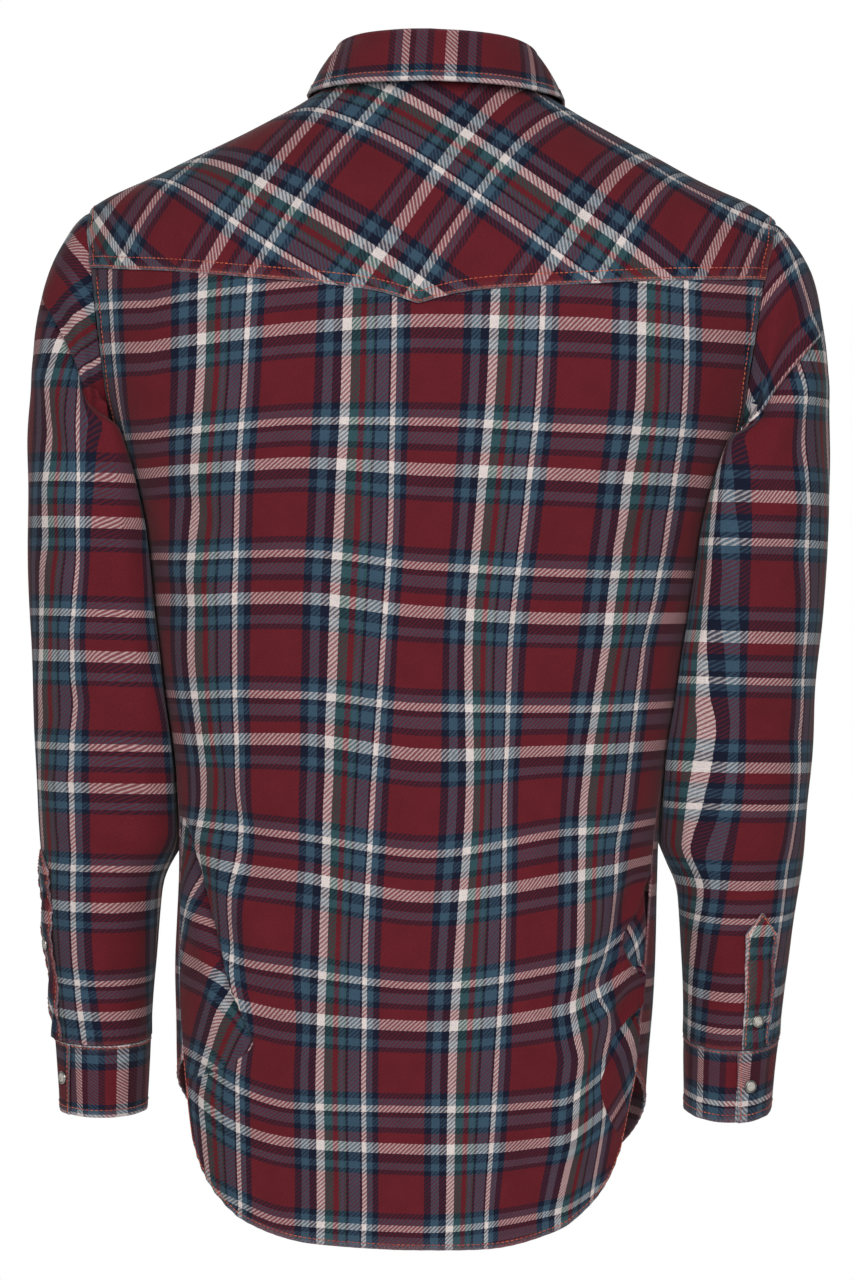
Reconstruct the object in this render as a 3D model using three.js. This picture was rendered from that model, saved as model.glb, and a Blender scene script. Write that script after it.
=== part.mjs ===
import * as THREE from "three";

// A western snap shirt, worn and filled out with no wearer, in millimetres.
// The front faces -Y, the back +Y, the wearer's left side is +X, and z = 0 is the side of the neck.

// Driving sizes
const CLOTH = 1.5;
const BAND_CLOTH = 1.2;
const SEAM_GAP = 0.3;
const LAP_GAP = 0.35;
const ARMHOLE_TOP = -80;
const ARMPIT = -235;
const ARMHOLE_BACK_REACH = 49;
const ARMHOLE_FRONT_REACH = 47;
const ARMHOLE_ROUNDING = 0.87;
const ARMHOLE_GAP = 0.75;
const SIDE_SEAM_END = -648;
const PLACKET_HALF_WIDTH = 17.5;
const NECK_HALF_WIDTH = 73;
const NECK_BACK = 57;
const NECK_FRONT = -62;
const FORWARD_SEAM_REACH = -28;
const CUFF_HEIGHT = 48.5;
const CUFF_OVERLAP_DEGREES = 45;
const SNAP_RADIUS = 4.4;
const SNAP_HEIGHT = 1.9;
const SNAP_SEAT_GAP = 0.45;
const PEARL_RADIUS = 3.1;

// The torso by height: its half width, its reach to the back and front, and how square its section is
const TORSO = table(
  ["z", "half_width", "back", "front", "power"],
  [
    [-770, 146, 104, -106, 2.3],
    [-700, 154, 103, -108, 2.3],
    [-640, 159.5, 100, -107, 2.3],
    [-573, 162, 95, -105, 2.3],
    [-506, 162, 90, -103, 2.3],
    [-458, 165, 90, -104, 2.35],
    [-404, 174, 92, -108, 2.4],
    [-350, 182, 98, -114, 2.4],
    [-296, 189, 103, -118, 2.45],
    [-256, 199, 109, -120, 2.5],
    [-235, 207, 111, -120, 2.5],
    [-200, 221, 113, -119, 2.5],
    [-150, 233, 111, -112, 2.5],
    [-100, 237, 101, -96, 2.4],
    [-80, 231, 94, -83, 2.2],
    [-50, 175, 82, -66, 2.1],
    [-20, 117, 68, -50, 2],
    [0, 82, 60, -41, 2],
    [12, 64, 55, -35, 2],
  ],
);

// The lower edge of the yoke, by distance from the centre back
const YOKE_SEAM = table(
  ["x", "z"],
  [
    [0, -145.5],
    [12, -141.5],
    [30, -137.2],
    [47, -134.8],
    [72, -132.6],
    [113, -129.6],
    [155, -126],
    [232, -121],
  ],
);

// Where the side seam lies on the section, in degrees from the centre back
const SIDE_SEAM = table(
  ["z", "turn"],
  [
    [-770, 68],
    [-640, 71],
    [-500, 78],
    [-350, 86],
    [-235, 90],
  ],
);

// The shirt-tail hems, by the share of the way from the centre to the side seam
const HEM = table(
  ["share", "back_z", "front_z"],
  [
    [0, -762, -745],
    [0.28, -760.5, -738],
    [0.6, -749, -701],
    [0.73, -738, -683],
    [0.86, -722, -665],
    [0.94, -700, -655],
    [1, SIDE_SEAM_END, SIDE_SEAM_END],
  ],
);

// The largest folds: a soft line from one place to another, on the back (1) or the front (-1)
const FOLDS = rows(
  ["face", "from_x", "from_z", "to_x", "to_z", "width", "depth"],
  [
    [1, 160, -490, 106, -614, 9, -4.5],
    [1, 150, -472, 88, -588, 13, 3.2],
    [1, -154, -496, -126, -590, 9, -4.5],
    [1, -152, -580, -129, -646, 8, -4],
    [1, -140, -486, -108, -586, 12, 3],
    [1, -12, -285, -22, -440, 24, -4],
    [1, 96, -420, 30, -470, 16, -2.5],
    [1, -100, -430, -40, -486, 16, -2.5],
    [-1, 120, -200, 60, -300, 22, -4],
    [-1, -118, -210, -62, -306, 22, -4],
    [-1, 128, -470, 40, -540, 15, -4],
    [-1, -124, -480, -48, -556, 15, -4],
  ],
);

// The sleeve, a row for each ring: its outer and inner points, half depth and middle
const SLEEVE = rows(
  ["out_x", "out_z", "in_x", "in_z", "half_depth", "mid_y"],
  [
    [231.3, -80.3, 207.6, -235.3, 49, 0],
    [239.5, -87, 212.5, -239, 52, 0],
    [249.5, -100, 206.5, -250, 55, -1],
    [257.8, -117, 199, -267, 57, -2],
    [263.5, -138, 193, -288, 59, -3],
    [267.5, -165, 189, -310, 60.5, -4],
    [270, -200, 185.7, -335, 61.5, -5],
    [271.5, -242, 182.5, -358, 62, -7],
    [271, -290, 178.9, -382, 62, -9],
    [269, -340, 174.7, -408, 61, -12],
    [266, -395, 169.4, -438, 59.5, -15],
    [263.5, -445, 169.6, -466, 57.5, -18],
    [261, -482, 171, -490, 55.5, -20],
    [259, -509, 173, -512, 53.5, -21],
    [256.5, -541, 176, -541, 51, -22],
    [253.3, -573, 178.4, -573, 48.5, -23],
    [249.6, -605, 180.6, -605, 46, -24],
    [246.4, -636.5, 181.7, -636.5, 43.5, -24],
  ],
);

// The drag folds of the sleeves, by their places on the left sleeve
const SLEEVE_FOLDS = rows(
  ["face", "from_x", "from_z", "to_x", "to_z", "width", "depth"],
  [
    [1, 262, -134, 214, -218, 7, -5.5],
    [1, 268, -176, 222, -246, 9, 3],
    [1, 266, -300, 205, -330, 14, -2.5],
    [1, 262, -430, 190, -404, 13, -3],
    [-1, 262, -140, 216, -222, 8, -5],
    [-1, 264, -380, 200, -440, 14, -3.5],
  ],
);

// The two sleeves differ in how far their openings are turned outward, and in how their wrists hang
const SLEEVE_ENDS = {
  left: { side: 1, strip_column: 4, strip_ring: 13, cuff_turn: 33, snap_turn: 48, snap_z: -576, tilt: 3.5, lift: -2.5 },
  right: { side: -1, strip_column: 7, strip_ring: 14, cuff_turn: 8, snap_turn: 27, snap_z: -613, tilt: 7.5, lift: 11 },
};
const TILT_START_Z = -430;
const TILT_LENGTH = 200;

// The collar leaf, by the turn around the neck from the centre back: its lower edge
const LEAF_EDGE = table(
  ["turn", "x", "y", "z"],
  [
    [0, 0, 72, 5],
    [30, 42, 64, 4.5],
    [60, 73, 38, 3],
    [90, 87, -2, 2],
    [115, 86, -34, -12],
    [135, 76, -64, -47],
    [155, 60, -88, -76],
    [180, 38, -100, -97],
  ],
);
const STAND_TOP = table(
  ["turn", "z"],
  [
    [0, 39],
    [45, 37],
    [90, 30],
    [135, -2],
    [180, -31],
  ],
);
const STAND_TOP_HALF_WIDTH = 65.5;
const STAND_TOP_BACK = 51.5;
const STAND_TOP_FRONT = -64.5;

// Colours and finishes
const PLAID = { color: "#68262d", roughness: 0.9, metalness: 0 };
const SILVER = { color: "#b9bcc0", roughness: 0.3, metalness: 0.9 };
const PEARL = { color: "#c9cbcf", roughness: 0.25, metalness: 0 };

// Counts of steps
const NECK_STEPS = 6;
const SHOULDER_STEPS = 7;
const YOKE_ROWS = 8;
const BACK_ARM_ROWS = 6;
const FRONT_ARM_ROWS = 8;
const SIDE_ROWS = 16;
const BACK_CORNER_TURN = 61.9;
const FRONT_CORNER_TURN = -36.6;

// Shares and fades
const NECK_SHARE = 0.56;
const FRONT_NECK_END_TURN = 163;
const FRONT_NECK_STEPS = 4;
const FOLD_END_SHARE = 0.3;
const PLAN_FADE_START = -150;
const PLAN_FADE_LENGTH = 150;
const ARMHOLE_FADE_RINGS = 6;
const SLEEVE_SQUARENESS = 0.93;
const HIGHEST_SHOULDER = 12;
const LOWEST_SHOULDER = -110;

// Small helpers
function rows(names, values) {
  return values.map((line) => Object.fromEntries(names.map((name, i) => [name, line[i]])));
}

// A table whose columns are read smoothly at any place along its first column, without overshoot
function table(names, values) {
  const places = values.map((line) => line[0]);
  const columns = names.slice(1).map((name, c) => {
    const heights = values.map((line) => line[c + 1]);
    return [name, smoothColumn(places, heights)];
  });
  return (at) => Object.fromEntries(columns.map(([name, read]) => [name, read(at)]));
}

function smoothColumn(places, heights) {
  const last = places.length - 1;
  const rise = (i) => (heights[i + 1] - heights[i]) / (places[i + 1] - places[i]);
  const slope = places.map((_, i) => {
    if (i === 0) return rise(0);
    if (i === last) return rise(last - 1);
    return rise(i - 1) * rise(i) <= 0 ? 0 : (2 * rise(i - 1) * rise(i)) / (rise(i - 1) + rise(i));
  });
  return (at) => {
    const x = Math.min(Math.max(at, places[0]), places[last]);
    let i = 0;
    while (i < last - 1 && x > places[i + 1]) i += 1;
    const span = places[i + 1] - places[i];
    const t = (x - places[i]) / span;
    const keep = (1 + 2 * t) * (1 - t) ** 2;
    const next = t * t * (3 - 2 * t);
    const bend = span * t * (1 - t) * ((1 - t) * slope[i] - t * slope[i + 1]);
    return keep * heights[i] + next * heights[i + 1] + bend;
  };
}

const radians = (degrees) => (degrees * Math.PI) / 180;
const mix = (a, b, t) => a + (b - a) * t;
const ease = (t) => {
  const s = Math.min(Math.max(t, 0), 1);
  return s * s * (3 - 2 * s);
};
const vector = (x, y, z) => new THREE.Vector3(x, y, z);
const signedPower = (value, power) => Math.sign(value) * Math.abs(value) ** power;
const range = (count) => [...Array(count).keys()];

function bisect(test, low, high) {
  for (let i = 0; i < 48; i += 1) {
    const middle = (low + high) / 2;
    if (test(middle)) low = middle;
    else high = middle;
  }
  return (low + high) / 2;
}

// How far a point is pushed out by the folds near it
function foldPush(folds, x, z, face) {
  let push = 0;
  for (const fold of folds) {
    if (fold.face !== face) continue;
    const along_x = fold.to_x - fold.from_x;
    const along_z = fold.to_z - fold.from_z;
    const length = Math.hypot(along_x, along_z);
    const t = ((x - fold.from_x) * along_x + (z - fold.from_z) * along_z) / length ** 2;
    const across = ((x - fold.from_x) * along_z - (z - fold.from_z) * along_x) / length;
    const ends = ease(t / FOLD_END_SHARE) * ease((1 - t) / FOLD_END_SHARE);
    push += fold.depth * ends * Math.exp(-((across / fold.width) ** 2));
  }
  return push;
}

// The torso's surface
function section(z) {
  const { half_width, back, front, power } = TORSO(z);
  return { half_width, power, middle: (back + front) / 2, half_depth: (back - front) / 2 };
}

function outsideness(x, y, z) {
  const s = section(z);
  return Math.abs(x / s.half_width) ** s.power + Math.abs((y - s.middle) / s.half_depth) ** s.power - 1;
}

function torsoNormal(p) {
  const step = 0.5;
  return vector(
    outsideness(p.x + step, p.y, p.z) - outsideness(p.x - step, p.y, p.z),
    outsideness(p.x, p.y + step, p.z) - outsideness(p.x, p.y - step, p.z),
    outsideness(p.x, p.y, p.z + step) - outsideness(p.x, p.y, p.z - step),
  ).normalize();
}

// A point of the torso by its turn from the centre back, in degrees, and its height
function torsoPoint(turn, z) {
  const s = section(z);
  const x = s.half_width * signedPower(Math.sin(radians(turn)), 2 / s.power);
  const y = s.middle + s.half_depth * signedPower(Math.cos(radians(turn)), 2 / s.power);
  return vector(x, y, z);
}

function turnAtX(x, z, front) {
  const s = section(z);
  const share = Math.min(Math.abs(x / s.half_width), 1) ** (s.power / 2);
  const turn = Math.sign(x) * THREE.MathUtils.radToDeg(Math.asin(share));
  return front ? 180 - turn : turn;
}

// The height of the sloping shoulders above a place in plan
function shoulderHeight(x, y) {
  return bisect((z) => outsideness(x, y, z) < 0, LOWEST_SHOULDER, HIGHEST_SHOULDER);
}

// The armhole: a turn of 0 is the shoulder tip, 180 the armpit, and the front turns are negative
function armholePoint(turn) {
  const z = (ARMHOLE_TOP + ARMPIT) / 2 + ((ARMHOLE_TOP - ARMPIT) / 2) * Math.cos(radians(turn));
  const reach = turn >= 0 ? ARMHOLE_BACK_REACH : -ARMHOLE_FRONT_REACH;
  const out = reach * Math.abs(Math.sin(radians(turn))) ** ARMHOLE_ROUNDING;
  const s = section(z);
  const x = s.half_width * (1 - Math.abs(out / s.half_depth) ** s.power) ** (1 / s.power);
  return vector(x, s.middle + out, z);
}

// The turn on the section at which a panel meets the armhole or the side seam
function edgeTurn(z, front) {
  if (z <= ARMPIT) return SIDE_SEAM(z).turn;
  const share = (2 * (z - ARMPIT)) / (ARMHOLE_TOP - ARMPIT) - 1;
  const p = armholePoint((front ? -1 : 1) * THREE.MathUtils.radToDeg(Math.acos(Math.min(share, 1))));
  return turnAtX(p.x, z, front);
}

// The neck seam, by the turn around the neck
function neckPoint(turn) {
  const middle = (NECK_BACK + NECK_FRONT) / 2;
  const x = NECK_HALF_WIDTH * Math.sin(radians(turn));
  const y = middle + ((NECK_BACK - NECK_FRONT) / 2) * Math.cos(radians(turn));
  return vector(x, y, shoulderHeight(x, y));
}

const FRONT_CORNER = armholePoint(FRONT_CORNER_TURN);
const BACK_CORNER = armholePoint(BACK_CORNER_TURN);
const NECK_CORNER_TURN = THREE.MathUtils.radToDeg(
  Math.acos((2 * FORWARD_SEAM_REACH - NECK_BACK - NECK_FRONT) / (NECK_BACK - NECK_FRONT)),
);
const NECK_CORNER = neckPoint(NECK_CORNER_TURN);

// The seam that joins yoke and front, just in front of the shoulder's ridge
function forwardSeamPoint(share) {
  const x = mix(NECK_CORNER.x, FRONT_CORNER.x, share);
  const y = mix(NECK_CORNER.y, FRONT_CORNER.y, share);
  return vector(x, y, shoulderHeight(x, y));
}

// Sheets of points, and walls made from them. A sheet is a list of rows of points.
function trim(sheet, side, by) {
  const lastRow = sheet.length - 1;
  const moveAlong = (edge, inner) => edge.add(inner.clone().sub(edge).setLength(by));
  if (side === "top") sheet[0].forEach((p, i) => moveAlong(p, sheet[1][i]));
  if (side === "bottom") sheet[lastRow].forEach((p, i) => moveAlong(p, sheet[lastRow - 1][i]));
  if (side === "left") sheet.forEach((line) => moveAlong(line[0], line[1]));
  if (side === "right") sheet.forEach((line) => moveAlong(line.at(-1), line.at(-2)));
}

// Normals of a free sheet, from its neighbours; outward is right-hand from column to row
function sheetNormals(sheet, round) {
  const height = sheet.length;
  const width = sheet[0].length;
  return sheet.map((line, r) =>
    line.map((_, c) => {
      const up = sheet[Math.max(r - 1, 0)][c];
      const down = sheet[Math.min(r + 1, height - 1)][c];
      const before = round ? line[(c + width - 1) % width] : line[Math.max(c - 1, 0)];
      const after = round ? line[(c + 1) % width] : line[Math.min(c + 1, width - 1)];
      return after.clone().sub(before).cross(down.clone().sub(up)).normalize();
    }),
  );
}

function moveOut(sheet, normals, by) {
  return sheet.map((line, r) => line.map((p, c) => p.clone().addScaledVector(normals[r][c], by)));
}

// A closed wall between an outer and an inner sheet; a round one joins its last column to its first
function wall(outer, inner, round = false) {
  const height = outer.length;
  const width = outer[0].length;
  const positions = [...outer.flat(), ...inner.flat()].flatMap((p) => [p.x, p.y, p.z]);
  const index = [];
  const at = (layer, r, c) => layer * height * width + r * width + (c % width);
  const quad = (a, b, c, d) => index.push(a, b, c, a, c, d);
  const columns = round ? width : width - 1;
  for (let r = 0; r < height - 1; r += 1) {
    for (let c = 0; c < columns; c += 1) {
      const next = (c + 1) % width;
      const falling = outer[r][c].distanceTo(outer[r + 1][next]);
      const rising = outer[r][next].distanceTo(outer[r + 1][c]);
      const face = [at(0, r, c), at(0, r, c + 1), at(0, r + 1, c + 1), at(0, r + 1, c)];
      const back = [at(1, r, c), at(1, r + 1, c), at(1, r + 1, c + 1), at(1, r, c + 1)];
      if (rising < falling) {
        face.push(face.shift());
        back.push(back.shift());
      }
      quad(...face);
      quad(...back);
    }
  }
  for (let c = 0; c < columns; c += 1) {
    quad(at(0, 0, c), at(1, 0, c), at(1, 0, c + 1), at(0, 0, c + 1));
    quad(at(0, height - 1, c), at(0, height - 1, c + 1), at(1, height - 1, c + 1), at(1, height - 1, c));
  }
  if (!round) {
    for (let r = 0; r < height - 1; r += 1) {
      quad(at(0, r, 0), at(0, r + 1, 0), at(1, r + 1, 0), at(1, r, 0));
      quad(at(0, r, width - 1), at(1, r, width - 1), at(1, r + 1, width - 1), at(0, r + 1, width - 1));
    }
  }
  const geometry = new THREE.BufferGeometry();
  geometry.setAttribute("position", new THREE.Float32BufferAttribute(positions, 3));
  geometry.setIndex(index);
  return facingOut(geometry);
}

// Turns a closed body's faces over where its volume comes out negative
function facingOut(geometry) {
  const p = geometry.attributes.position;
  const index = geometry.index.array;
  const [a, b, c] = [new THREE.Vector3(), new THREE.Vector3(), new THREE.Vector3()];
  let volume = 0;
  for (let i = 0; i < index.length; i += 3) {
    a.fromBufferAttribute(p, index[i]);
    b.fromBufferAttribute(p, index[i + 1]);
    c.fromBufferAttribute(p, index[i + 2]);
    volume += a.dot(b.cross(c));
  }
  if (volume < 0) {
    for (let i = 0; i < index.length; i += 3) [index[i + 1], index[i + 2]] = [index[i + 2], index[i + 1]];
  }
  geometry.computeVertexNormals();
  return geometry;
}

const shirt = new THREE.Group();

function addPiece(name, geometry, finish) {
  const piece = new THREE.Mesh(geometry, new THREE.MeshStandardMaterial(finish));
  piece.name = name;
  shirt.add(piece);
  return piece;
}

// Torso panels: a sheet on the torso, with its folds, and the wall behind it
function foldedTorso(sheet) {
  const normals = sheet.map((line) => line.map(torsoNormal));
  const outer = sheet.map((line, r) =>
    line.map((p, c) => {
      const face = p.y > section(p.z).middle ? 1 : -1;
      return p.clone().addScaledVector(normals[r][c], foldPush(FOLDS, p.x, p.z, face));
    }),
  );
  return { outer, normals };
}

// A column runs in plan near the shoulders and follows the section's turn lower down
function panelPoint(share, z, front, centreX = 0) {
  const edge = edgeTurn(z, front);
  const start = turnAtX(centreX, z, front);
  const edgeX = torsoPoint(edge, z).x;
  const plan = turnAtX(mix(centreX, edgeX, share), z, front);
  const round = mix(start, edge, share);
  return torsoPoint(mix(plan, round, ease((PLAN_FADE_START - z) / PLAN_FADE_LENGTH)), z);
}

const mirrored = (p) => vector(-p.x, p.y, p.z);

const cornerX = BACK_CORNER.x;
const BACK_SHARES = [
  ...range(NECK_STEPS).map((i) => (NECK_SHARE * i) / NECK_STEPS),
  ...range(SHOULDER_STEPS + 1).map((i) => mix(NECK_SHARE, 1, i / SHOULDER_STEPS)),
];

function columnHeights(top, bottom, armRows, cornerTurn, edgeTop) {
  const heights = range(armRows + SIDE_ROWS + 1).map((r) => {
    if (r > armRows) return mix(ARMPIT, SIDE_SEAM_END, (r - armRows) / SIDE_ROWS);
    return armholePoint(mix(cornerTurn, 180 * Math.sign(cornerTurn), r / armRows)).z;
  });
  return heights.map((z) => mix(top, bottom, (edgeTop - z) / (edgeTop - SIDE_SEAM_END)));
}

function makeBack() {
  const half = BACK_SHARES.map((share) => {
    const top = YOKE_SEAM(share * cornerX).z;
    const bottom = HEM(share).back_z;
    const zTop = share === 1 ? BACK_CORNER.z : top;
    return columnHeights(zTop, bottom, BACK_ARM_ROWS, BACK_CORNER_TURN, BACK_CORNER.z).map((z) =>
      panelPoint(share, z, false),
    );
  });
  const columns = [...half.slice(1).reverse().map((line) => line.map(mirrored)), ...half];
  const sheet = range(columns[0].length).map((r) => columns.map((line) => line[r].clone()));
  const { outer, normals } = foldedTorso(sheet);
  for (const side of ["top", "left", "right"]) trim(outer, side, SEAM_GAP / 2);
  addPiece("back", wall(outer, moveOut(outer, normals, -CLOTH)), PLAID);
}

// The yoke's points come from rays turned about a line inside the shoulders
const RAY_CENTRE_Z = -120;
const RAY_REACH = 220;
const rayTurn = (p) => Math.atan2(p.z - RAY_CENTRE_Z, p.y);

function rayPoint(x, turn) {
  const reach = bisect(
    (r) => outsideness(x, r * Math.cos(turn), RAY_CENTRE_Z + r * Math.sin(turn)) < 0,
    0,
    RAY_REACH,
  );
  return vector(x, reach * Math.cos(turn), RAY_CENTRE_Z + reach * Math.sin(turn));
}

function makeYoke() {
  const top = [
    ...range(NECK_STEPS).map((i) => neckPoint((NECK_CORNER_TURN * i) / NECK_STEPS)),
    ...range(SHOULDER_STEPS + 1).map((i) => forwardSeamPoint(i / SHOULDER_STEPS)),
  ];
  const last = top.length - 1;
  const bottom = BACK_SHARES.map((share, i) => {
    const z = i === last ? BACK_CORNER.z : YOKE_SEAM(share * cornerX).z;
    return panelPoint(share, z, false);
  });
  const armhole = range(YOKE_ROWS + 1).map((r) =>
    armholePoint(mix(FRONT_CORNER_TURN, BACK_CORNER_TURN, r / YOKE_ROWS)),
  );
  const half = range(last + 1).map((i) =>
    range(YOKE_ROWS + 1).map((r) => {
      const v = r / YOKE_ROWS;
      const u = BACK_SHARES[i] ** 2;
      const blend = (read) => {
        const rail = mix(read(top[i]), read(bottom[i]), v);
        const straightEdge = mix(read(top[last]), read(bottom[last]), v);
        return rail + u * (read(armhole[r]) - straightEdge);
      };
      if (r === 0) return top[i].clone();
      if (i === last) return armhole[r].clone();
      return rayPoint(blend((p) => p.x), blend(rayTurn));
    }),
  );
  const columns = [...half.slice(1).reverse().map((line) => line.map(mirrored)), ...half];
  const sheet = range(YOKE_ROWS + 1).map((r) => columns.map((line) => line[r].clone()));
  const normals = sheet.map((line) => line.map(torsoNormal));
  for (const side of ["top", "bottom", "left", "right"]) trim(sheet, side, SEAM_GAP / 2);
  addPiece("yoke", wall(sheet, moveOut(sheet, normals, -CLOTH)), PLAID);
}

// The fronts: columns from the side seam to the placket, then on across the centre
const FRONT_NECK_TURNS = range(FRONT_NECK_STEPS + 1).map((i) =>
  mix(NECK_CORNER_TURN, FRONT_NECK_END_TURN, i / FRONT_NECK_STEPS),
);
const UNDERLAP_COLUMNS = [18.9, 0, -15.5];
const UNDERLAP_DROP = CLOTH + LAP_GAP + 0.15;

function frontColumn(share, topZ) {
  const bottom = HEM(share).front_z;
  return columnHeights(topZ, bottom, FRONT_ARM_ROWS, FRONT_CORNER_TURN, FRONT_CORNER.z).map((z) =>
    frontPoint(share, z),
  );
}

// Above the armhole's front corner a column goes straight up in plan
function frontPoint(share, z) {
  if (z <= FRONT_CORNER.z) return panelPoint(share, z, true, PLACKET_HALF_WIDTH);
  const x = mix(PLACKET_HALF_WIDTH, FRONT_CORNER.x, share);
  return torsoPoint(turnAtX(x, z, true), z);
}

function centreColumn(x, rowsLike) {
  const top = neckFrontHeight(x);
  const bottom = HEM(0).front_z;
  const [first, end] = [rowsLike[0].z, rowsLike.at(-1).z];
  return rowsLike.map((p) => {
    const z = mix(top, bottom, (first - p.z) / (first - end));
    return torsoPoint(turnAtX(x, z, true), z);
  });
}

function neckFrontHeight(x) {
  const turn = 180 - THREE.MathUtils.radToDeg(Math.asin(Math.abs(x) / NECK_HALF_WIDTH));
  return neckPoint(turn).z;
}

function frontColumns() {
  const seam = range(SHOULDER_STEPS + 1).map((i) => forwardSeamPoint(1 - i / SHOULDER_STEPS));
  const neck = FRONT_NECK_TURNS.slice(1).map(neckPoint);
  const tops = [...seam, ...neck];
  return tops.map((top) => {
    const share = (top.x - PLACKET_HALF_WIDTH) / (FRONT_CORNER.x - PLACKET_HALF_WIDTH);
    return frontColumn(share, top.z);
  });
}

function makeFronts() {
  const side = frontColumns();
  const edge = side.at(-1);
  const leftColumns = [PLACKET_HALF_WIDTH, 0, -PLACKET_HALF_WIDTH].map((x) => centreColumn(x, edge));
  const underColumns = UNDERLAP_COLUMNS.map((x) => centreColumn(x, edge));
  const asSheet = (columns) => range(columns[0].length).map((r) => columns.map((line) => line[r].clone()));

  const left = foldedTorso(asSheet([...side.slice(0, -1), ...leftColumns]));
  for (const edgeName of ["top", "left"]) trim(left.outer, edgeName, SEAM_GAP / 2);
  addPiece("front_left", wall(left.outer, moveOut(left.outer, left.normals, -CLOTH)), PLAID);

  const rightSheet = asSheet([...side.slice(0, -1), ...underColumns]);
  const right = foldedTorso(rightSheet.map((line) => line.map(mirrored)));
  right.outer.forEach((line, r) =>
    line.slice(-underColumns.length).forEach((p, i) => {
      const normal = right.normals[r][line.length - underColumns.length + i];
      p.addScaledVector(normal, -UNDERLAP_DROP);
    }),
  );
  for (const edgeName of ["top", "left"]) trim(right.outer, edgeName, SEAM_GAP / 2);
  addPiece("front_right", wall(right.outer, moveOut(right.outer, right.normals, -CLOTH)), PLAID);

  const pick = (sheet) => sheet.map((line) => line.slice(-leftColumns.length));
  const band = pick(left.outer);
  const normals = pick(left.normals);
  const under = moveOut(band, normals, LAP_GAP);
  const face = moveOut(band, normals, LAP_GAP + BAND_CLOTH);
  addPiece("front_placket", wall(face, under), PLAID);
  makeFrontSnaps(face, normals);
}

// Snaps: a silver rim with a pearl face, let in below the rim's lip
const LIP_DEPTH = 0.9;
const SNAP_SIDES = 14;

function turned(profile) {
  const points = profile.map(([radius, height]) => new THREE.Vector2(radius, height));
  return new THREE.LatheGeometry(points, SNAP_SIDES);
}

function snapRim() {
  const profile = [
    [0, 0],
    [SNAP_RADIUS - 0.4, 0],
    [SNAP_RADIUS, 0.7],
    [SNAP_RADIUS - 0.3, SNAP_HEIGHT - 0.3],
    [PEARL_RADIUS + 0.5, SNAP_HEIGHT],
    [PEARL_RADIUS + SEAM_GAP, SNAP_HEIGHT - LIP_DEPTH],
    [0, SNAP_HEIGHT - LIP_DEPTH],
  ];
  return turned(profile);
}

function snapPearl() {
  const base = SNAP_HEIGHT - LIP_DEPTH + SEAM_GAP;
  const profile = [
    [0, base],
    [PEARL_RADIUS, base],
    [PEARL_RADIUS - 0.2, base + 0.7],
    [0, base + 1.1],
  ];
  return turned(profile);
}

function addSnap(name, place, direction) {
  const seat = place.clone().addScaledVector(direction, SNAP_SEAT_GAP);
  const turn = new THREE.Quaternion().setFromUnitVectors(vector(0, 1, 0), direction);
  for (const [part, geometry, finish] of [
    ["rim", snapRim(), SILVER],
    ["pearl", snapPearl(), PEARL],
  ]) {
    const piece = addPiece(`snap_${part}_${name}`, geometry, finish);
    piece.position.copy(seat);
    piece.quaternion.copy(turn);
  }
}

const FRONT_SNAP_FIRST = -112;
const FRONT_SNAP_PITCH = 92;
const FRONT_SNAPS = 6;

function makeFrontSnaps(face, normals) {
  const middle = face.map((line) => line[1]);
  for (const i of range(FRONT_SNAPS)) {
    const z = FRONT_SNAP_FIRST - i * FRONT_SNAP_PITCH;
    const r = middle.findIndex((p) => p.z < z);
    const t = (z - middle[r - 1].z) / (middle[r].z - middle[r - 1].z);
    addSnap(`front_${i + 1}`, middle[r - 1].clone().lerp(middle[r], t), normals[r][1]);
  }
}

// Sleeve: rings that fan from the armhole to the wrist
const SLEEVE_TURNS = [
  ...range(YOKE_ROWS).map((i) => mix(FRONT_CORNER_TURN, BACK_CORNER_TURN, i / YOKE_ROWS)),
  ...range(BACK_ARM_ROWS).map((i) => mix(BACK_CORNER_TURN, 180, i / BACK_ARM_ROWS)),
  ...range(FRONT_ARM_ROWS).map((i) => mix(180, 360 + FRONT_CORNER_TURN, i / FRONT_ARM_ROWS)),
];

function ringPoint(ring, turn) {
  const out = Math.cos(radians(turn));
  return vector(
    (ring.out_x + ring.in_x) / 2 + ((ring.out_x - ring.in_x) / 2) * out,
    ring.mid_y + ring.half_depth * signedPower(Math.sin(radians(turn)), SLEEVE_SQUARENESS),
    (ring.out_z + ring.in_z) / 2 + ((ring.out_z - ring.in_z) / 2) * out,
  );
}

function sleeveSheet() {
  const first = SLEEVE_TURNS.map((turn) => armholePoint(turn > 180 ? turn - 360 : turn));
  const sheet = SLEEVE.map((ring, k) =>
    SLEEVE_TURNS.map((turn, i) => {
      const plain = ringPoint(ring, turn);
      const start = first[i].clone().sub(ringPoint(SLEEVE[0], turn));
      return plain.addScaledVector(start, 1 - ease(k / ARMHOLE_FADE_RINGS));
    }),
  );
  sheet[0] = first;
  return sheet;
}

// Puts a point of the left sleeve on its own side, with the back of the wrist a little lower than the front
function hang(p, end) {
  const share = ease((TILT_START_Z - p.z) / TILT_LENGTH);
  const back = (p.y - CUFF_MIDDLE_Y) / CUFF_HALF_DEPTH;
  return vector(end.side * p.x, p.y, p.z + share * (end.lift - end.tilt * back));
}

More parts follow.
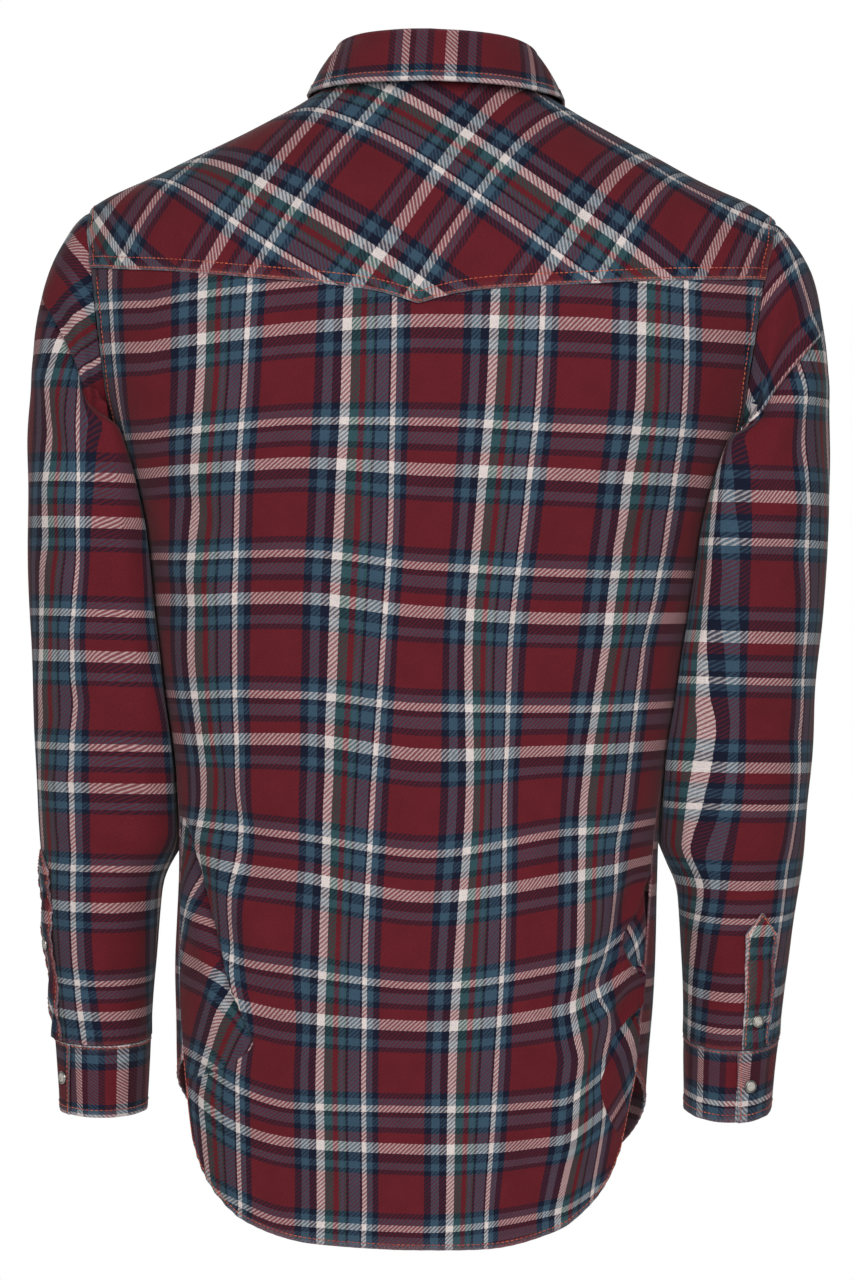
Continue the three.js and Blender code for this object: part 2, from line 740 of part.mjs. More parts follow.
function makeSleeve(name, end) {
  const plain = sleeveSheet();
  trim(plain, "top", ARMHOLE_GAP);
  const plainNormals = sheetNormals(plain, true).map((line) => line.map((n) => n.negate()));
  const outer = plain.map((line, r) =>
    line.map((p, c) => {
      const face = p.y > SLEEVE[r].mid_y ? 1 : -1;
      const fade = ease(r / 2) * ease((SLEEVE.length - 1 - r) / 2);
      return p.clone().addScaledVector(plainNormals[r][c], fade * foldPush(SLEEVE_FOLDS, p.x, p.z, face));
    }),
  );
  const inner = moveOut(outer, plainNormals, -CLOTH);
  const place = (sheet) => sheet.map((line) => line.map((p) => hang(p, end)));
  addPiece(`sleeve_${name}`, wall(place(outer), place(inner), true), PLAID);
  makeSleevePlacket(name, end, outer, plainNormals, place);
}

// The band over the sleeve's slit, three columns of the sleeve wide, with a pointed top
const STRIP_POINT_DROP = 0.45;

function makeSleevePlacket(name, end, sheet, normals, place) {
  const columns = [0, 1, 2].map((i) => end.strip_column + i);
  const linesOf = (grid) => grid.slice(end.strip_ring).map((line) => columns.map((c) => line[c].clone()));
  const strip = linesOf(sheet);
  const outward = linesOf(normals);
  for (const c of [0, 2]) strip[0][c].lerp(strip[1][c], STRIP_POINT_DROP);
  trim(strip, "bottom", SEAM_GAP);
  const under = moveOut(strip, outward, LAP_GAP);
  const face = moveOut(strip, outward, LAP_GAP + BAND_CLOTH);
  addPiece(`sleeve_placket_${name}`, wall(place(face), place(under)), PLAID);
  const middle = face.map((line) => line[1]);
  const r = middle.findIndex((p) => p.z < end.snap_z);
  const t = (end.snap_z - middle[r - 1].z) / (middle[r].z - middle[r - 1].z);
  const seat = middle[r - 1].clone().lerp(middle[r], t);
  const direction = outward[r][1].clone();
  addSnap(`placket_${name}`, hang(seat, end), end.side > 0 ? direction : mirrored(direction));
}

// The cuff: a band that goes round the wrist once and runs on under its own end
const CUFF_TOP = { z: -637.2, x: 214, half_width: 32.3 };
const CUFF_END = { z: -637.2 - CUFF_HEIGHT, x: 212.5, half_width: 29.8 };
const CUFF_MIDDLE_Y = -24;
const CUFF_HALF_DEPTH = 43.3;
const CUFF_STEPS = 30;
const CUFF_ROWS = 3;
const MITRE = 7;
const TUCK_START = 250;
const TUCK_LENGTH = 90;
const TUCK_DEPTH = CLOTH + LAP_GAP + 0.1;
const CUFF_DEPTH_TAPER = 0.8;

function cuffPoint(turn, drop, lift) {
  const halfWidth = mix(CUFF_TOP.half_width, CUFF_END.half_width, drop) + lift;
  const halfDepth = CUFF_HALF_DEPTH - CUFF_DEPTH_TAPER * drop + lift;
  const x = mix(CUFF_TOP.x, CUFF_END.x, drop) + halfWidth * Math.sin(radians(turn));
  const y = CUFF_MIDDLE_Y + halfDepth * Math.cos(radians(turn));
  return vector(x, y, mix(CUFF_TOP.z, CUFF_END.z, drop));
}

function makeCuff(name, end) {
  const step = (360 + CUFF_OVERLAP_DEGREES) / CUFF_STEPS;
  const lineOf = (drop, extra) =>
    range(CUFF_STEPS + 1).map((i) => {
      const turn = end.cuff_turn + i * step;
      const tuck = TUCK_DEPTH * ease((i * step - TUCK_START) / TUCK_LENGTH);
      const mitre = i === 0 && drop === 1 ? MITRE : 0;
      return cuffPoint(turn + mitre, drop, extra - tuck);
    });
  const drops = range(CUFF_ROWS + 1).map((r) => r / CUFF_ROWS);
  const outer = drops.map((drop) => lineOf(drop, 0));
  const inner = drops.map((drop) => lineOf(drop, -CLOTH));
  const place = (sheet) => sheet.map((line) => line.map((p) => hang(p, end)));
  addPiece(`cuff_${name}`, wall(place(outer), place(inner)), PLAID);
  const seat = cuffPoint(end.snap_turn, 0.5, 0);
  const direction = cuffPoint(end.snap_turn, 0.5, 10).sub(seat).normalize();
  addSnap(`cuff_${name}`, hang(seat, end), end.side > 0 ? direction : mirrored(direction));
}

// Collar: turns around the neck, shared by the stand and the leaf
const HALF_NECK_TURNS = [
  ...range(NECK_STEPS).map((i) => (NECK_CORNER_TURN * i) / NECK_STEPS),
  ...FRONT_NECK_TURNS,
];
const PLACKET_TURN = 180 - THREE.MathUtils.radToDeg(Math.asin(PLACKET_HALF_WIDTH / NECK_HALF_WIDTH));

function standTopPoint(turn, lift) {
  const middle = (STAND_TOP_BACK + STAND_TOP_FRONT) / 2;
  const x = (STAND_TOP_HALF_WIDTH + lift) * Math.sin(radians(turn));
  const y = middle + ((STAND_TOP_BACK - STAND_TOP_FRONT) / 2 + lift) * Math.cos(radians(turn));
  return vector(x, y, STAND_TOP(Math.abs(turn > 180 ? 360 - turn : turn)).z);
}

const STAND_SEAM_GAP = 0.5;
const STAND_END_EASE = 0.4;

function makeStand() {
  const right = HALF_NECK_TURNS.slice(1).map((turn) => -turn).reverse();
  const left = HALF_NECK_TURNS.slice(0, -1);
  const overlap = [PLACKET_TURN, 180, 360 - PLACKET_TURN];
  const turns = [-PLACKET_TURN - STAND_END_EASE, ...right.slice(1), ...left, ...overlap];
  const line = (share, lift) =>
    turns.map((turn) => {
      const folded = turn > 180 ? 360 - turn : Math.abs(turn);
      const foot = neckPoint(folded);
      foot.x *= turn < 0 || turn > 180 ? -1 : 1;
      const outward = vector(Math.sin(radians(turn)), Math.cos(radians(turn)), 0);
      foot.addScaledVector(outward, lift);
      foot.z += STAND_SEAM_GAP;
      return foot.lerp(standTopPoint(turn, lift), share);
    });
  const outer = [1, 0.5, 0].map((share) => line(share, 0));
  const inner = [1, 0.5, 0].map((share) => line(share, -CLOTH));
  addPiece("collar_stand", wall(outer, inner), PLAID);
  const seat = line(0.5, 0)[turns.indexOf(180)];
  const bandSide = outer[0][turns.indexOf(180)].clone().sub(outer[2][turns.indexOf(180)]);
  const direction = vector(1, 0, 0).cross(bandSide).normalize();
  addSnap("stand", seat, direction.y < 0 ? direction : direction.negate());
}

// The leaf rolls over the stand and falls to its lower edge
const ROLL_RADIUS = 2.6;
const LEAF_FRONT_TURNS = [168, 177.5];
const ROLL_STEPS = 4;
const FALL_STEPS = 4;
const LEAF_BULGE = 2;

function makeLeaf() {
  const half = [...HALF_NECK_TURNS.slice(0, -1), ...LEAF_FRONT_TURNS];
  const turns = [...half.slice(1).map((turn) => -turn).reverse(), ...half];
  const column = (turn, thickness) => {
    const outward = vector(Math.sin(radians(turn)), Math.cos(radians(turn)), 0);
    const start = standTopPoint(Math.abs(turn), 0);
    start.x *= Math.sign(turn) || 1;
    start.z += LAP_GAP;
    const centre = start.clone().addScaledVector(outward, ROLL_RADIUS - CLOTH);
    const radius = ROLL_RADIUS - thickness;
    const roll = range(ROLL_STEPS + 1).map((i) => {
      const angle = Math.PI * (1 - i / ROLL_STEPS);
      const rise = vector(0, 0, radius * Math.sin(angle));
      return centre.clone().addScaledVector(outward, radius * Math.cos(angle)).add(rise);
    });
    const goal = LEAF_EDGE(Math.abs(turn));
    const edge = vector(goal.x * (Math.sign(turn) || 1), goal.y, goal.z);
    const from = roll.at(-1);
    const side = edge.clone().sub(from).cross(vector(outward.y, -outward.x, 0)).normalize();
    if (side.dot(outward) < 0) side.negate();
    edge.addScaledVector(side, -thickness);
    const fall = range(FALL_STEPS).map((i) => {
      const t = (i + 1) / FALL_STEPS;
      return from.clone().lerp(edge, t).addScaledVector(side, LEAF_BULGE * 4 * t * (1 - t) * (1 - 0.5 * t));
    });
    return [...roll, ...fall];
  };
  const asSheet = (thickness) => {
    const columns = turns.map((turn) => column(turn, thickness));
    return range(columns[0].length).map((r) => columns.map((line) => line[r]));
  };
  addPiece("collar", wall(asSheet(0), asSheet(CLOTH)), PLAID);
}

makeBack();
makeYoke();
makeFronts();
makeStand();
makeLeaf();
for (const [name, end] of Object.entries(SLEEVE_ENDS)) {
  makeSleeve(name, end);
  makeCuff(name, end);
}

export default shirt;
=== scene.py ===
import math

import bmesh
import bpy
import numpy as np
from mathutils import Matrix, Vector


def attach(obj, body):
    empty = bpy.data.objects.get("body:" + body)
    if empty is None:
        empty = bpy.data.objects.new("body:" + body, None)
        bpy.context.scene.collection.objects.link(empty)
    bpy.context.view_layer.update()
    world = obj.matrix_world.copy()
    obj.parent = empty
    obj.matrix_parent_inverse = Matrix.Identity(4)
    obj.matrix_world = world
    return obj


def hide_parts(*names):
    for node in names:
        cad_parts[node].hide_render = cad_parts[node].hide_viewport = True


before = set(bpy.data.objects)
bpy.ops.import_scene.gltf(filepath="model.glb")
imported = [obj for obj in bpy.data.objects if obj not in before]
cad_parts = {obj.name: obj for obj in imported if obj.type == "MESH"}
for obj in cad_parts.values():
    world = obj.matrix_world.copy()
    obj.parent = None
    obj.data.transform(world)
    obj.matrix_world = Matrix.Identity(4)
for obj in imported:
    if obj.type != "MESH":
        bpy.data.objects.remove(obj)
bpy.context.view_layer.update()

# The western snap shirt, dressed. Sizes are in millimetres until a mesh is made.
# The front faces -Y, the back +Y, the wearer's left side is +X, and z = 0 is the side of the neck.

# Driving sizes, as in the frame
CLOTH = 1.5
BAND_CLOTH = 1.2
LAP_GAP = 0.35
ARMHOLE_TOP = -80
ARMPIT = -235
ARMHOLE_BACK_REACH = 49
ARMHOLE_FRONT_REACH = 47
ARMHOLE_ROUNDING = 0.87
SIDE_SEAM_END = -648
PLACKET_HALF_WIDTH = 17.5
NECK_HALF_WIDTH = 73
NECK_BACK = 57
NECK_FRONT = -62
FORWARD_SEAM_REACH = -28
BACK_CORNER_TURN = 61.9
FRONT_CORNER_TURN = -36.6

# Sizes of the looks
RIM_ROUNDING = 0.3
STITCH_PITCH = 3.3
STITCH_LENGTH = 2.5
THREAD_RADIUS = 0.32
TWILL_PERIOD = 3.3


# Small helpers
def mix(a, b, t):
    return a + (b - a) * t


def ease(t):
    s = np.clip(t, 0, 1)
    return s * s * (3 - 2 * s)


def signed_power(value, power):
    return np.sign(value) * np.abs(value) ** power


def rows(names, values):
    return [dict(zip(names, line)) for line in values]


def smooth_column(places, heights):
    """A column read smoothly at any place, without overshoot."""
    x = np.array(places, float)
    y = np.array(heights, float)
    rise = np.diff(y) / np.diff(x)
    slope = np.zeros(len(x))
    slope[0], slope[-1] = rise[0], rise[-1]
    total = rise[:-1] + rise[1:]
    steady = rise[:-1] * rise[1:]
    slope[1:-1] = np.where(steady > 0, 2 * steady / np.where(total == 0, 1, total), 0)

    def read(at):
        at = np.clip(np.asarray(at, float), x[0], x[-1])
        i = np.clip(np.searchsorted(x, at, side="right") - 1, 0, len(x) - 2)
        span = x[i + 1] - x[i]
        t = (at - x[i]) / span
        keep = (1 + 2 * t) * (1 - t) ** 2
        follow = t * t * (3 - 2 * t)
        bend = span * t * (1 - t) * ((1 - t) * slope[i] - t * slope[i + 1])
        return keep * y[i] + follow * y[i + 1] + bend

    return read


def table(names, values):
    columns = list(zip(*values))
    return {name: smooth_column(columns[0], column) for name, column in zip(names[1:], columns[1:])}


# The torso, a row for each height
TORSO = table(
    ("z", "half_width", "back", "front", "power"),
    (
        (-770, 146, 104, -106, 2.3),
        (-700, 154, 103, -108, 2.3),
        (-640, 159.5, 100, -107, 2.3),
        (-573, 162, 95, -105, 2.3),
        (-506, 162, 90, -103, 2.3),
        (-458, 165, 90, -104, 2.35),
        (-404, 174, 92, -108, 2.4),
        (-350, 182, 98, -114, 2.4),
        (-296, 189, 103, -118, 2.45),
        (-256, 199, 109, -120, 2.5),
        (-235, 207, 111, -120, 2.5),
        (-200, 221, 113, -119, 2.5),
        (-150, 233, 111, -112, 2.5),
        (-100, 237, 101, -96, 2.4),
        (-80, 231, 94, -83, 2.2),
        (-50, 175, 82, -66, 2.1),
        (-20, 117, 68, -50, 2),
        (0, 82, 60, -41, 2),
        (12, 64, 55, -35, 2),
    ),
)

YOKE_SEAM = table(
    ("x", "z"),
    (
        (0, -145.5),
        (12, -141.5),
        (30, -137.2),
        (47, -134.8),
        (72, -132.6),
        (113, -129.6),
        (155, -126),
        (232, -121),
    ),
)

SIDE_SEAM = table(
    ("z", "turn"),
    (
        (-770, 68),
        (-640, 71),
        (-500, 78),
        (-350, 86),
        (-235, 90),
    ),
)

HEM = table(
    ("share", "back", "front"),
    (
        (0, -762, -745),
        (0.28, -760.5, -738),
        (0.6, -749, -701),
        (0.73, -738, -683),
        (0.86, -722, -665),
        (0.94, -700, -655),
        (1, SIDE_SEAM_END, SIDE_SEAM_END),
    ),
)

# Folds and creases: soft lines from one place to another, on the back (1) or the front (-1)
FOLD_COLUMNS = ("face", "from_x", "from_z", "to_x", "to_z", "width", "depth")
FOLDS = rows(
    FOLD_COLUMNS,
    (
        (1, 160, -490, 106, -614, 9, -4.5),
        (1, 150, -472, 88, -588, 13, 3.2),
        (1, -154, -496, -126, -590, 9, -4.5),
        (1, -152, -580, -129, -646, 8, -4),
        (1, -140, -486, -108, -586, 12, 3),
        (1, -12, -285, -22, -440, 24, -4),
        (1, 96, -420, 30, -470, 16, -2.5),
        (1, -100, -430, -40, -486, 16, -2.5),
        (-1, 120, -200, 60, -300, 22, -4),
        (-1, -118, -210, -62, -306, 22, -4),
        (-1, 128, -470, 40, -540, 15, -4),
        (-1, -124, -480, -48, -556, 15, -4),
    ),
)
SMALL_FOLDS = rows(
    FOLD_COLUMNS,
    (
        (1, 168, -262, 120, -300, 10, -2.4),
        (1, 176, -300, 118, -352, 13, 2.2),
        (1, -170, -268, -128, -310, 10, -2.4),
        (1, -172, -318, -112, -372, 12, 2.1),
        (1, 60, -300, 74, -392, 15, 2.2),
        (1, -66, -296, -58, -380, 13, 2.1),
        (1, 30, -500, 44, -640, 17, 2.7),
        (1, -52, -520, -44, -668, 14, 2.5),
        (1, 84, -640, 70, -742, 15, -2.4),
        (1, -92, -650, -84, -742, 13, -2.2),
        (1, 2, -560, 8, -720, 14, -2.1),
        (1, 120, -392, 66, -440, 9, 2),
        (1, -126, -398, -78, -452, 9, 1.8),
        (1, 150, -538, 118, -640, 6, 2.4),
        (1, -148, -540, -120, -640, 6, 2.2),
        (1, 138, -430, 96, -520, 8, -2.2),
        (1, -136, -440, -88, -528, 8, -2.1),
        (-1, 170, -262, 116, -306, 10, -2.5),
        (-1, -170, -270, -120, -316, 10, -2.4),
        (-1, 96, -300, 84, -420, 15, 2.4),
        (-1, -88, -310, -80, -430, 15, 2.4),
        (-1, 60, -560, 74, -690, 14, 2.5),
        (-1, -64, -570, -56, -700, 13, 2.4),
        (-1, 140, -500, 100, -600, 8, -2.4),
        (-1, -138, -510, -96, -606, 8, -2.2),
        (-1, 110, -640, 96, -735, 13, -2.2),
        (-1, -108, -640, -92, -735, 12, -2.1),
        (-1, 46, -180, 40, -300, 13, 1.8),
        (-1, -46, -190, -38, -310, 13, -1.8),
    ),
)

# The sleeve, a row for each ring: its outer and inner points, half depth and middle
SLEEVE_RINGS = (
    (231.3, -80.3, 207.6, -235.3, 49, 0),
    (239.5, -87, 212.5, -239, 52, 0),
    (249.5, -100, 206.5, -250, 55, -1),
    (257.8, -117, 199, -267, 57, -2),
    (263.5, -138, 193, -288, 59, -3),
    (267.5, -165, 189, -310, 60.5, -4),
    (270, -200, 185.7, -335, 61.5, -5),
    (271.5, -242, 182.5, -358, 62, -7),
    (271, -290, 178.9, -382, 62, -9),
    (269, -340, 174.7, -408, 61, -12),
    (266, -395, 169.4, -438, 59.5, -15),
    (263.5, -445, 169.6, -466, 57.5, -18),
    (261, -482, 171, -490, 55.5, -20),
    (259, -509, 173, -512, 53.5, -21),
    (256.5, -541, 176, -541, 51, -22),
    (253.3, -573, 178.4, -573, 48.5, -23),
    (249.6, -605, 180.6, -605, 46, -24),
    (246.4, -636.5, 181.7, -636.5, 43.5, -24),
)
SLEEVE = table(
    ("ring", "out_x", "out_z", "in_x", "in_z", "half_depth", "mid_y"),
    tuple((i, *line) for i, line in enumerate(SLEEVE_RINGS)),
)
LAST_RING = len(SLEEVE_RINGS) - 1

SLEEVE_FOLDS = rows(
    FOLD_COLUMNS,
    (
        (1, 262, -134, 214, -218, 7, -5.5),
        (1, 268, -176, 222, -246, 9, 3),
        (1, 266, -300, 205, -330, 14, -2.5),
        (1, 262, -430, 190, -404, 13, -3),
        (-1, 262, -140, 216, -222, 8, -5),
        (-1, 264, -380, 200, -440, 14, -3.5),
    ),
)
SLEEVE_SMALL_FOLDS = rows(
    FOLD_COLUMNS,
    (
        (1, 244, -118, 222, -168, 7, 1.2),
        (1, 262, -222, 212, -272, 9, -1.6),
        (1, 258, -262, 214, -300, 10, 1.4),
        (1, 200, -286, 196, -372, 8, -1.5),
        (1, 262, -356, 196, -372, 9, 1.4),
        (1, 258, -394, 184, -436, 8, -1.5),
        (1, 258, -470, 184, -456, 8, 1.4),
        (1, 254, -508, 188, -520, 9, -1.2),
        (1, 220, -540, 188, -560, 7, 1.2),
        (1, 236, -596, 190, -588, 7, -1.3),
        (1, 226, -622, 200, -560, 6, 1.1),
        (-1, 260, -230, 214, -280, 10, -1.6),
        (-1, 260, -300, 200, -340, 12, 1.5),
        (-1, 258, -420, 188, -402, 9, 1.6),
        (-1, 256, -456, 186, -474, 9, -1.5),
        (-1, 250, -520, 184, -532, 9, 1.3),
        (-1, 246, -580, 186, -600, 8, -1.3),
    ),
)

# The two sleeves differ in how far their openings are turned outward, and in how much lower the back hangs
SLEEVE_ENDS = {
    "left": {
        "side": 1,
        "strip_ring": 13,
        "strip_turns": ((12, 42), (11, 44)),
        "strip_flat": (0.026, 0.13),
        "cuff_turn": 33,
        "snap_turn": 48,
        "snap_z": -576,
        "tilt": 3.5,
        "lift": -2.5,
    },
    "right": {
        "side": -1,
        "strip_ring": 14,
        "strip_turns": ((50, 82), (42, 77)),
        "strip_flat": (0.024, 0.09),
        "cuff_turn": 8,
        "snap_turn": 27,
        "snap_z": -613,
        "tilt": 7.5,
        "lift": 11,
    },
}
TILT_START_Z = -430
TILT_LENGTH = 200
PRESS_REACH = 15
PRESS_CLEARANCE = 1.6
PRESS_SOFTNESS = 2.5

LEAF_EDGE = table(
    ("turn", "x", "y", "z"),
    (
        (0, 0, 72, 5),
        (30, 42, 64, 4.5),
        (60, 73, 38, 3),
        (90, 87, -2, 2),
        (115, 86, -34, -12),
        (135, 76, -64, -47),
        (155, 60, -88, -76),
        (180, 38, -100, -97),
    ),
)
STAND_TOP = table(("turn", "z"), ((0, 39), (45, 37), (90, 30), (135, -2), (180, -31)))
STAND_TOP_HALF_WIDTH = 65.5
STAND_TOP_BACK = 51.5
STAND_TOP_FRONT = -64.5
ROLL_RADIUS = 2.6
LEAF_END_TURN = 177.5
LEAF_BULGE = 2

CUFF_HEIGHT = 48.5
CUFF_OVERLAP = 45
CUFF_TOP_Z = -637.2
CUFF_X = (214, 212.5)
CUFF_HALF_WIDTH = (32.3, 29.8)
CUFF_HALF_DEPTH = (43.3, 42.5)
CUFF_MIDDLE_Y = -24
MITRE = 7


# The torso's surface
def section(z):
    back, front = TORSO["back"](z), TORSO["front"](z)
    return TORSO["half_width"](z), (back + front) / 2, (back - front) / 2, TORSO["power"](z)


def outsideness(x, y, z):
    half_width, middle, half_depth, power = section(z)
    return np.abs(x / half_width) ** power + np.abs((y - middle) / half_depth) ** power - 1


def unit(vectors):
    return vectors / np.maximum(np.linalg.norm(vectors, axis=-1, keepdims=True), 1e-9)


def torso_normal(p):
    step = 0.5
    x, y, z = p[..., 0], p[..., 1], p[..., 2]
    slopes = (
        outsideness(x + step, y, z) - outsideness(x - step, y, z),
        outsideness(x, y + step, z) - outsideness(x, y - step, z),
        outsideness(x, y, z + step) - outsideness(x, y, z - step),
    )
    return unit(np.stack(slopes, -1))


def torso_point(turn, z):
    half_width, middle, half_depth, power = section(z)
    t = np.radians(turn)
    x = half_width * signed_power(np.sin(t), 2 / power)
    y = middle + half_depth * signed_power(np.cos(t), 2 / power)
    return np.stack([x, y, z + 0 * x], -1)


def turn_at_x(x, z, front):
    half_width, _, _, power = section(z)
    share = np.minimum(np.abs(x / half_width), 1) ** (power / 2)
    turn = np.sign(x) * np.degrees(np.arcsin(share))
    return 180 - turn if front else turn


def bisect(test, low, high):
    for _ in range(36):
        middle = (low + high) / 2
        inside = test(middle)
        low, high = np.where(inside, middle, low), np.where(inside, high, middle)
    return (low + high) / 2


def shoulder_height(x, y):
    x, y = np.broadcast_arrays(np.asarray(x, float), np.asarray(y, float))
    return bisect(lambda z: outsideness(x, y, z) < 0, np.full(x.shape, -110.0), np.full(x.shape, 12.0))


def armhole_point(turn):
    t = np.radians(turn)
    z = (ARMHOLE_TOP + ARMPIT) / 2 + (ARMHOLE_TOP - ARMPIT) / 2 * np.cos(t)
    reach = np.where(np.sin(t) >= 0, ARMHOLE_BACK_REACH, -ARMHOLE_FRONT_REACH)
    out = reach * np.abs(np.sin(t)) ** ARMHOLE_ROUNDING
    half_width, middle, half_depth, power = section(z)
    x = half_width * (1 - np.abs(out / half_depth) ** power) ** (1 / power)
    return np.stack([x, middle + out, z], -1)


def edge_turn(z, front):
    share = np.clip(2 * (z - ARMPIT) / (ARMHOLE_TOP - ARMPIT) - 1, -1, 1)
    p = armhole_point((-1 if front else 1) * np.degrees(np.arccos(share)))
    return np.where(z <= ARMPIT, SIDE_SEAM["turn"](z), turn_at_x(p[..., 0], z, front))


def neck_point(turn):
    t = np.radians(turn)
    x = NECK_HALF_WIDTH * np.sin(t)
    y = (NECK_BACK + NECK_FRONT) / 2 + (NECK_BACK - NECK_FRONT) / 2 * np.cos(t)
    return np.stack([x, y, shoulder_height(x, y)], -1)


FRONT_CORNER = armhole_point(np.array(FRONT_CORNER_TURN))
BACK_CORNER = armhole_point(np.array(BACK_CORNER_TURN))
NECK_CORNER_TURN = math.degrees(
    math.acos((2 * FORWARD_SEAM_REACH - NECK_BACK - NECK_FRONT) / (NECK_BACK - NECK_FRONT))
)
NECK_CORNER = neck_point(np.array(NECK_CORNER_TURN))


def forward_seam_point(share):
    x = mix(NECK_CORNER[0], FRONT_CORNER[0], share)
    y = mix(NECK_CORNER[1], FRONT_CORNER[1], share)
    return np.stack([x, y, shoulder_height(x, y)], -1)


def panel_point(share, z, front, centre_x=0):
    edge = edge_turn(z, front)
    start = turn_at_x(centre_x + 0 * z, z, front)
    edge_x = torso_point(edge, z)[..., 0]
    plan = turn_at_x(mix(centre_x, edge_x, share), z, front)
    return torso_point(mix(plan, mix(start, edge, share), ease((-150 - z) / 150)), z)


def torso_arc(x, z):
    """Signed length along the section from the centre, growing with x."""
    turn = turn_at_x(x, z, False)
    half_width, _, half_depth, power = section(z)
    steps = 28
    length = np.zeros_like(turn)
    before = None
    for k in range(steps + 1):
        t = np.radians(turn * k / steps)
        across = half_width * signed_power(np.sin(t), 2 / power)
        here = (across, half_depth * signed_power(np.cos(t), 2 / power))
        if before is not None:
            length += np.hypot(here[0] - before[0], here[1] - before[1])
        before = here
    return np.sign(x) * length


# Relief
def fold_push(folds, x, z, face):
    wander_x = x + 3.2 * np.sin(z / 31 + 0.7) + 1.6 * np.sin(z / 13 + x / 40)
    wander_z = z + 3 * np.sin(x / 27 + 1.1) + 1.4 * np.sin(x / 11 + z / 50)
    push = np.zeros_like(x)
    for fold in folds:
        along_x = fold["to_x"] - fold["from_x"]
        along_z = fold["to_z"] - fold["from_z"]
        length = math.hypot(along_x, along_z)
        t = ((wander_x - fold["from_x"]) * along_x + (wander_z - fold["from_z"]) * along_z) / length**2
        across = ((wander_x - fold["from_x"]) * along_z - (wander_z - fold["from_z"]) * along_x) / length
        ends = ease(t / 0.3) * ease((1 - t) / 0.3)
        shape = fold["depth"] * ends * np.exp(-((across / fold["width"]) ** 2))
        push += np.where(face == fold["face"], shape, 0)
    return push


def rumple(a, b, seed):
    """Slight unevenness of worn cloth, in two directions of the cloth."""
    waves = ((41, 97, 0.34), (-73, 58, 0.3), (29, -37, 0.2), (-19, 23, 0.12), (13, 47, 0.1), (120, -31, 0.26))
    total = np.zeros_like(a)
    for i, (wave_a, wave_b, height) in enumerate(waves):
        total += height * np.sin(a / wave_a * 2.4 + b / wave_b * 2.4 + seed * (i + 1) * 1.7)
    return total


def edge_distances(grid):
    """Lengths along the grid from its top, bottom, left and right edges."""
    down = np.linalg.norm(np.diff(grid, axis=0), axis=-1)
    across = np.linalg.norm(np.diff(grid, axis=1), axis=-1)
    top = np.concatenate([np.zeros((1, grid.shape[1])), np.cumsum(down, 0)], 0)
    left = np.concatenate([np.zeros((grid.shape[0], 1)), np.cumsum(across, 1)], 1)
    return {"top": top, "bottom": top[-1:] - top, "left": left, "right": left[:, -1:] - left}


def seam_relief(distance, along, stitch_rows=(), lift=0.0, lift_width=0.0, ripple=0.3):
    """A turned or lapped edge: thicker cloth, a groove at each row of stitches and small puckers."""
    relief = lift * ease((lift_width - distance) / 1.2 + 0.5) if lift else np.zeros_like(distance)
    for row in stitch_rows:
        relief = relief - 0.32 * np.exp(-(((distance - row) / 1.1) ** 2))
    wave = np.sin(along / 1.55 + 2.2 * np.sin(along / 13)) * (0.65 + 0.35 * np.sin(along / 29 + 1))
    return relief + ripple * wave * np.exp(-((distance / 9) ** 2))


# Meshes
def side_steps(count):
    """Even steps from 0 to 1 with a short one at both ends, which rounds the rims."""
    even = np.linspace(0, 1, count)
    short = 0.55 / 300
    return np.concatenate([[0, short], even[1:-1], [1 - short, 1]])


def grid_faces(height, width, start, turned, round_):
    columns = width if round_ else width - 1
    r, c = np.meshgrid(np.arange(height - 1), np.arange(columns), indexing="ij")
    n = (c + 1) % width
    quads = [r * width + c, r * width + n, (r + 1) * width + n, (r + 1) * width + c]
    faces = np.stack(quads, -1).reshape(-1, 4) + start
    return faces[:, ::-1] if turned else faces


def new_mesh(name, points, faces, material):
    mesh = bpy.data.meshes.new(name)
    mesh.from_pydata((np.asarray(points) * 0.001).tolist(), [], np.asarray(faces).tolist())
    mesh.polygons.foreach_set("use_smooth", np.ones(len(mesh.polygons), bool))
    mesh.materials.append(material)
    thing = bpy.data.objects.new(name, mesh)
    bpy.context.scene.collection.objects.link(thing)
    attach(thing, "root")
    return thing


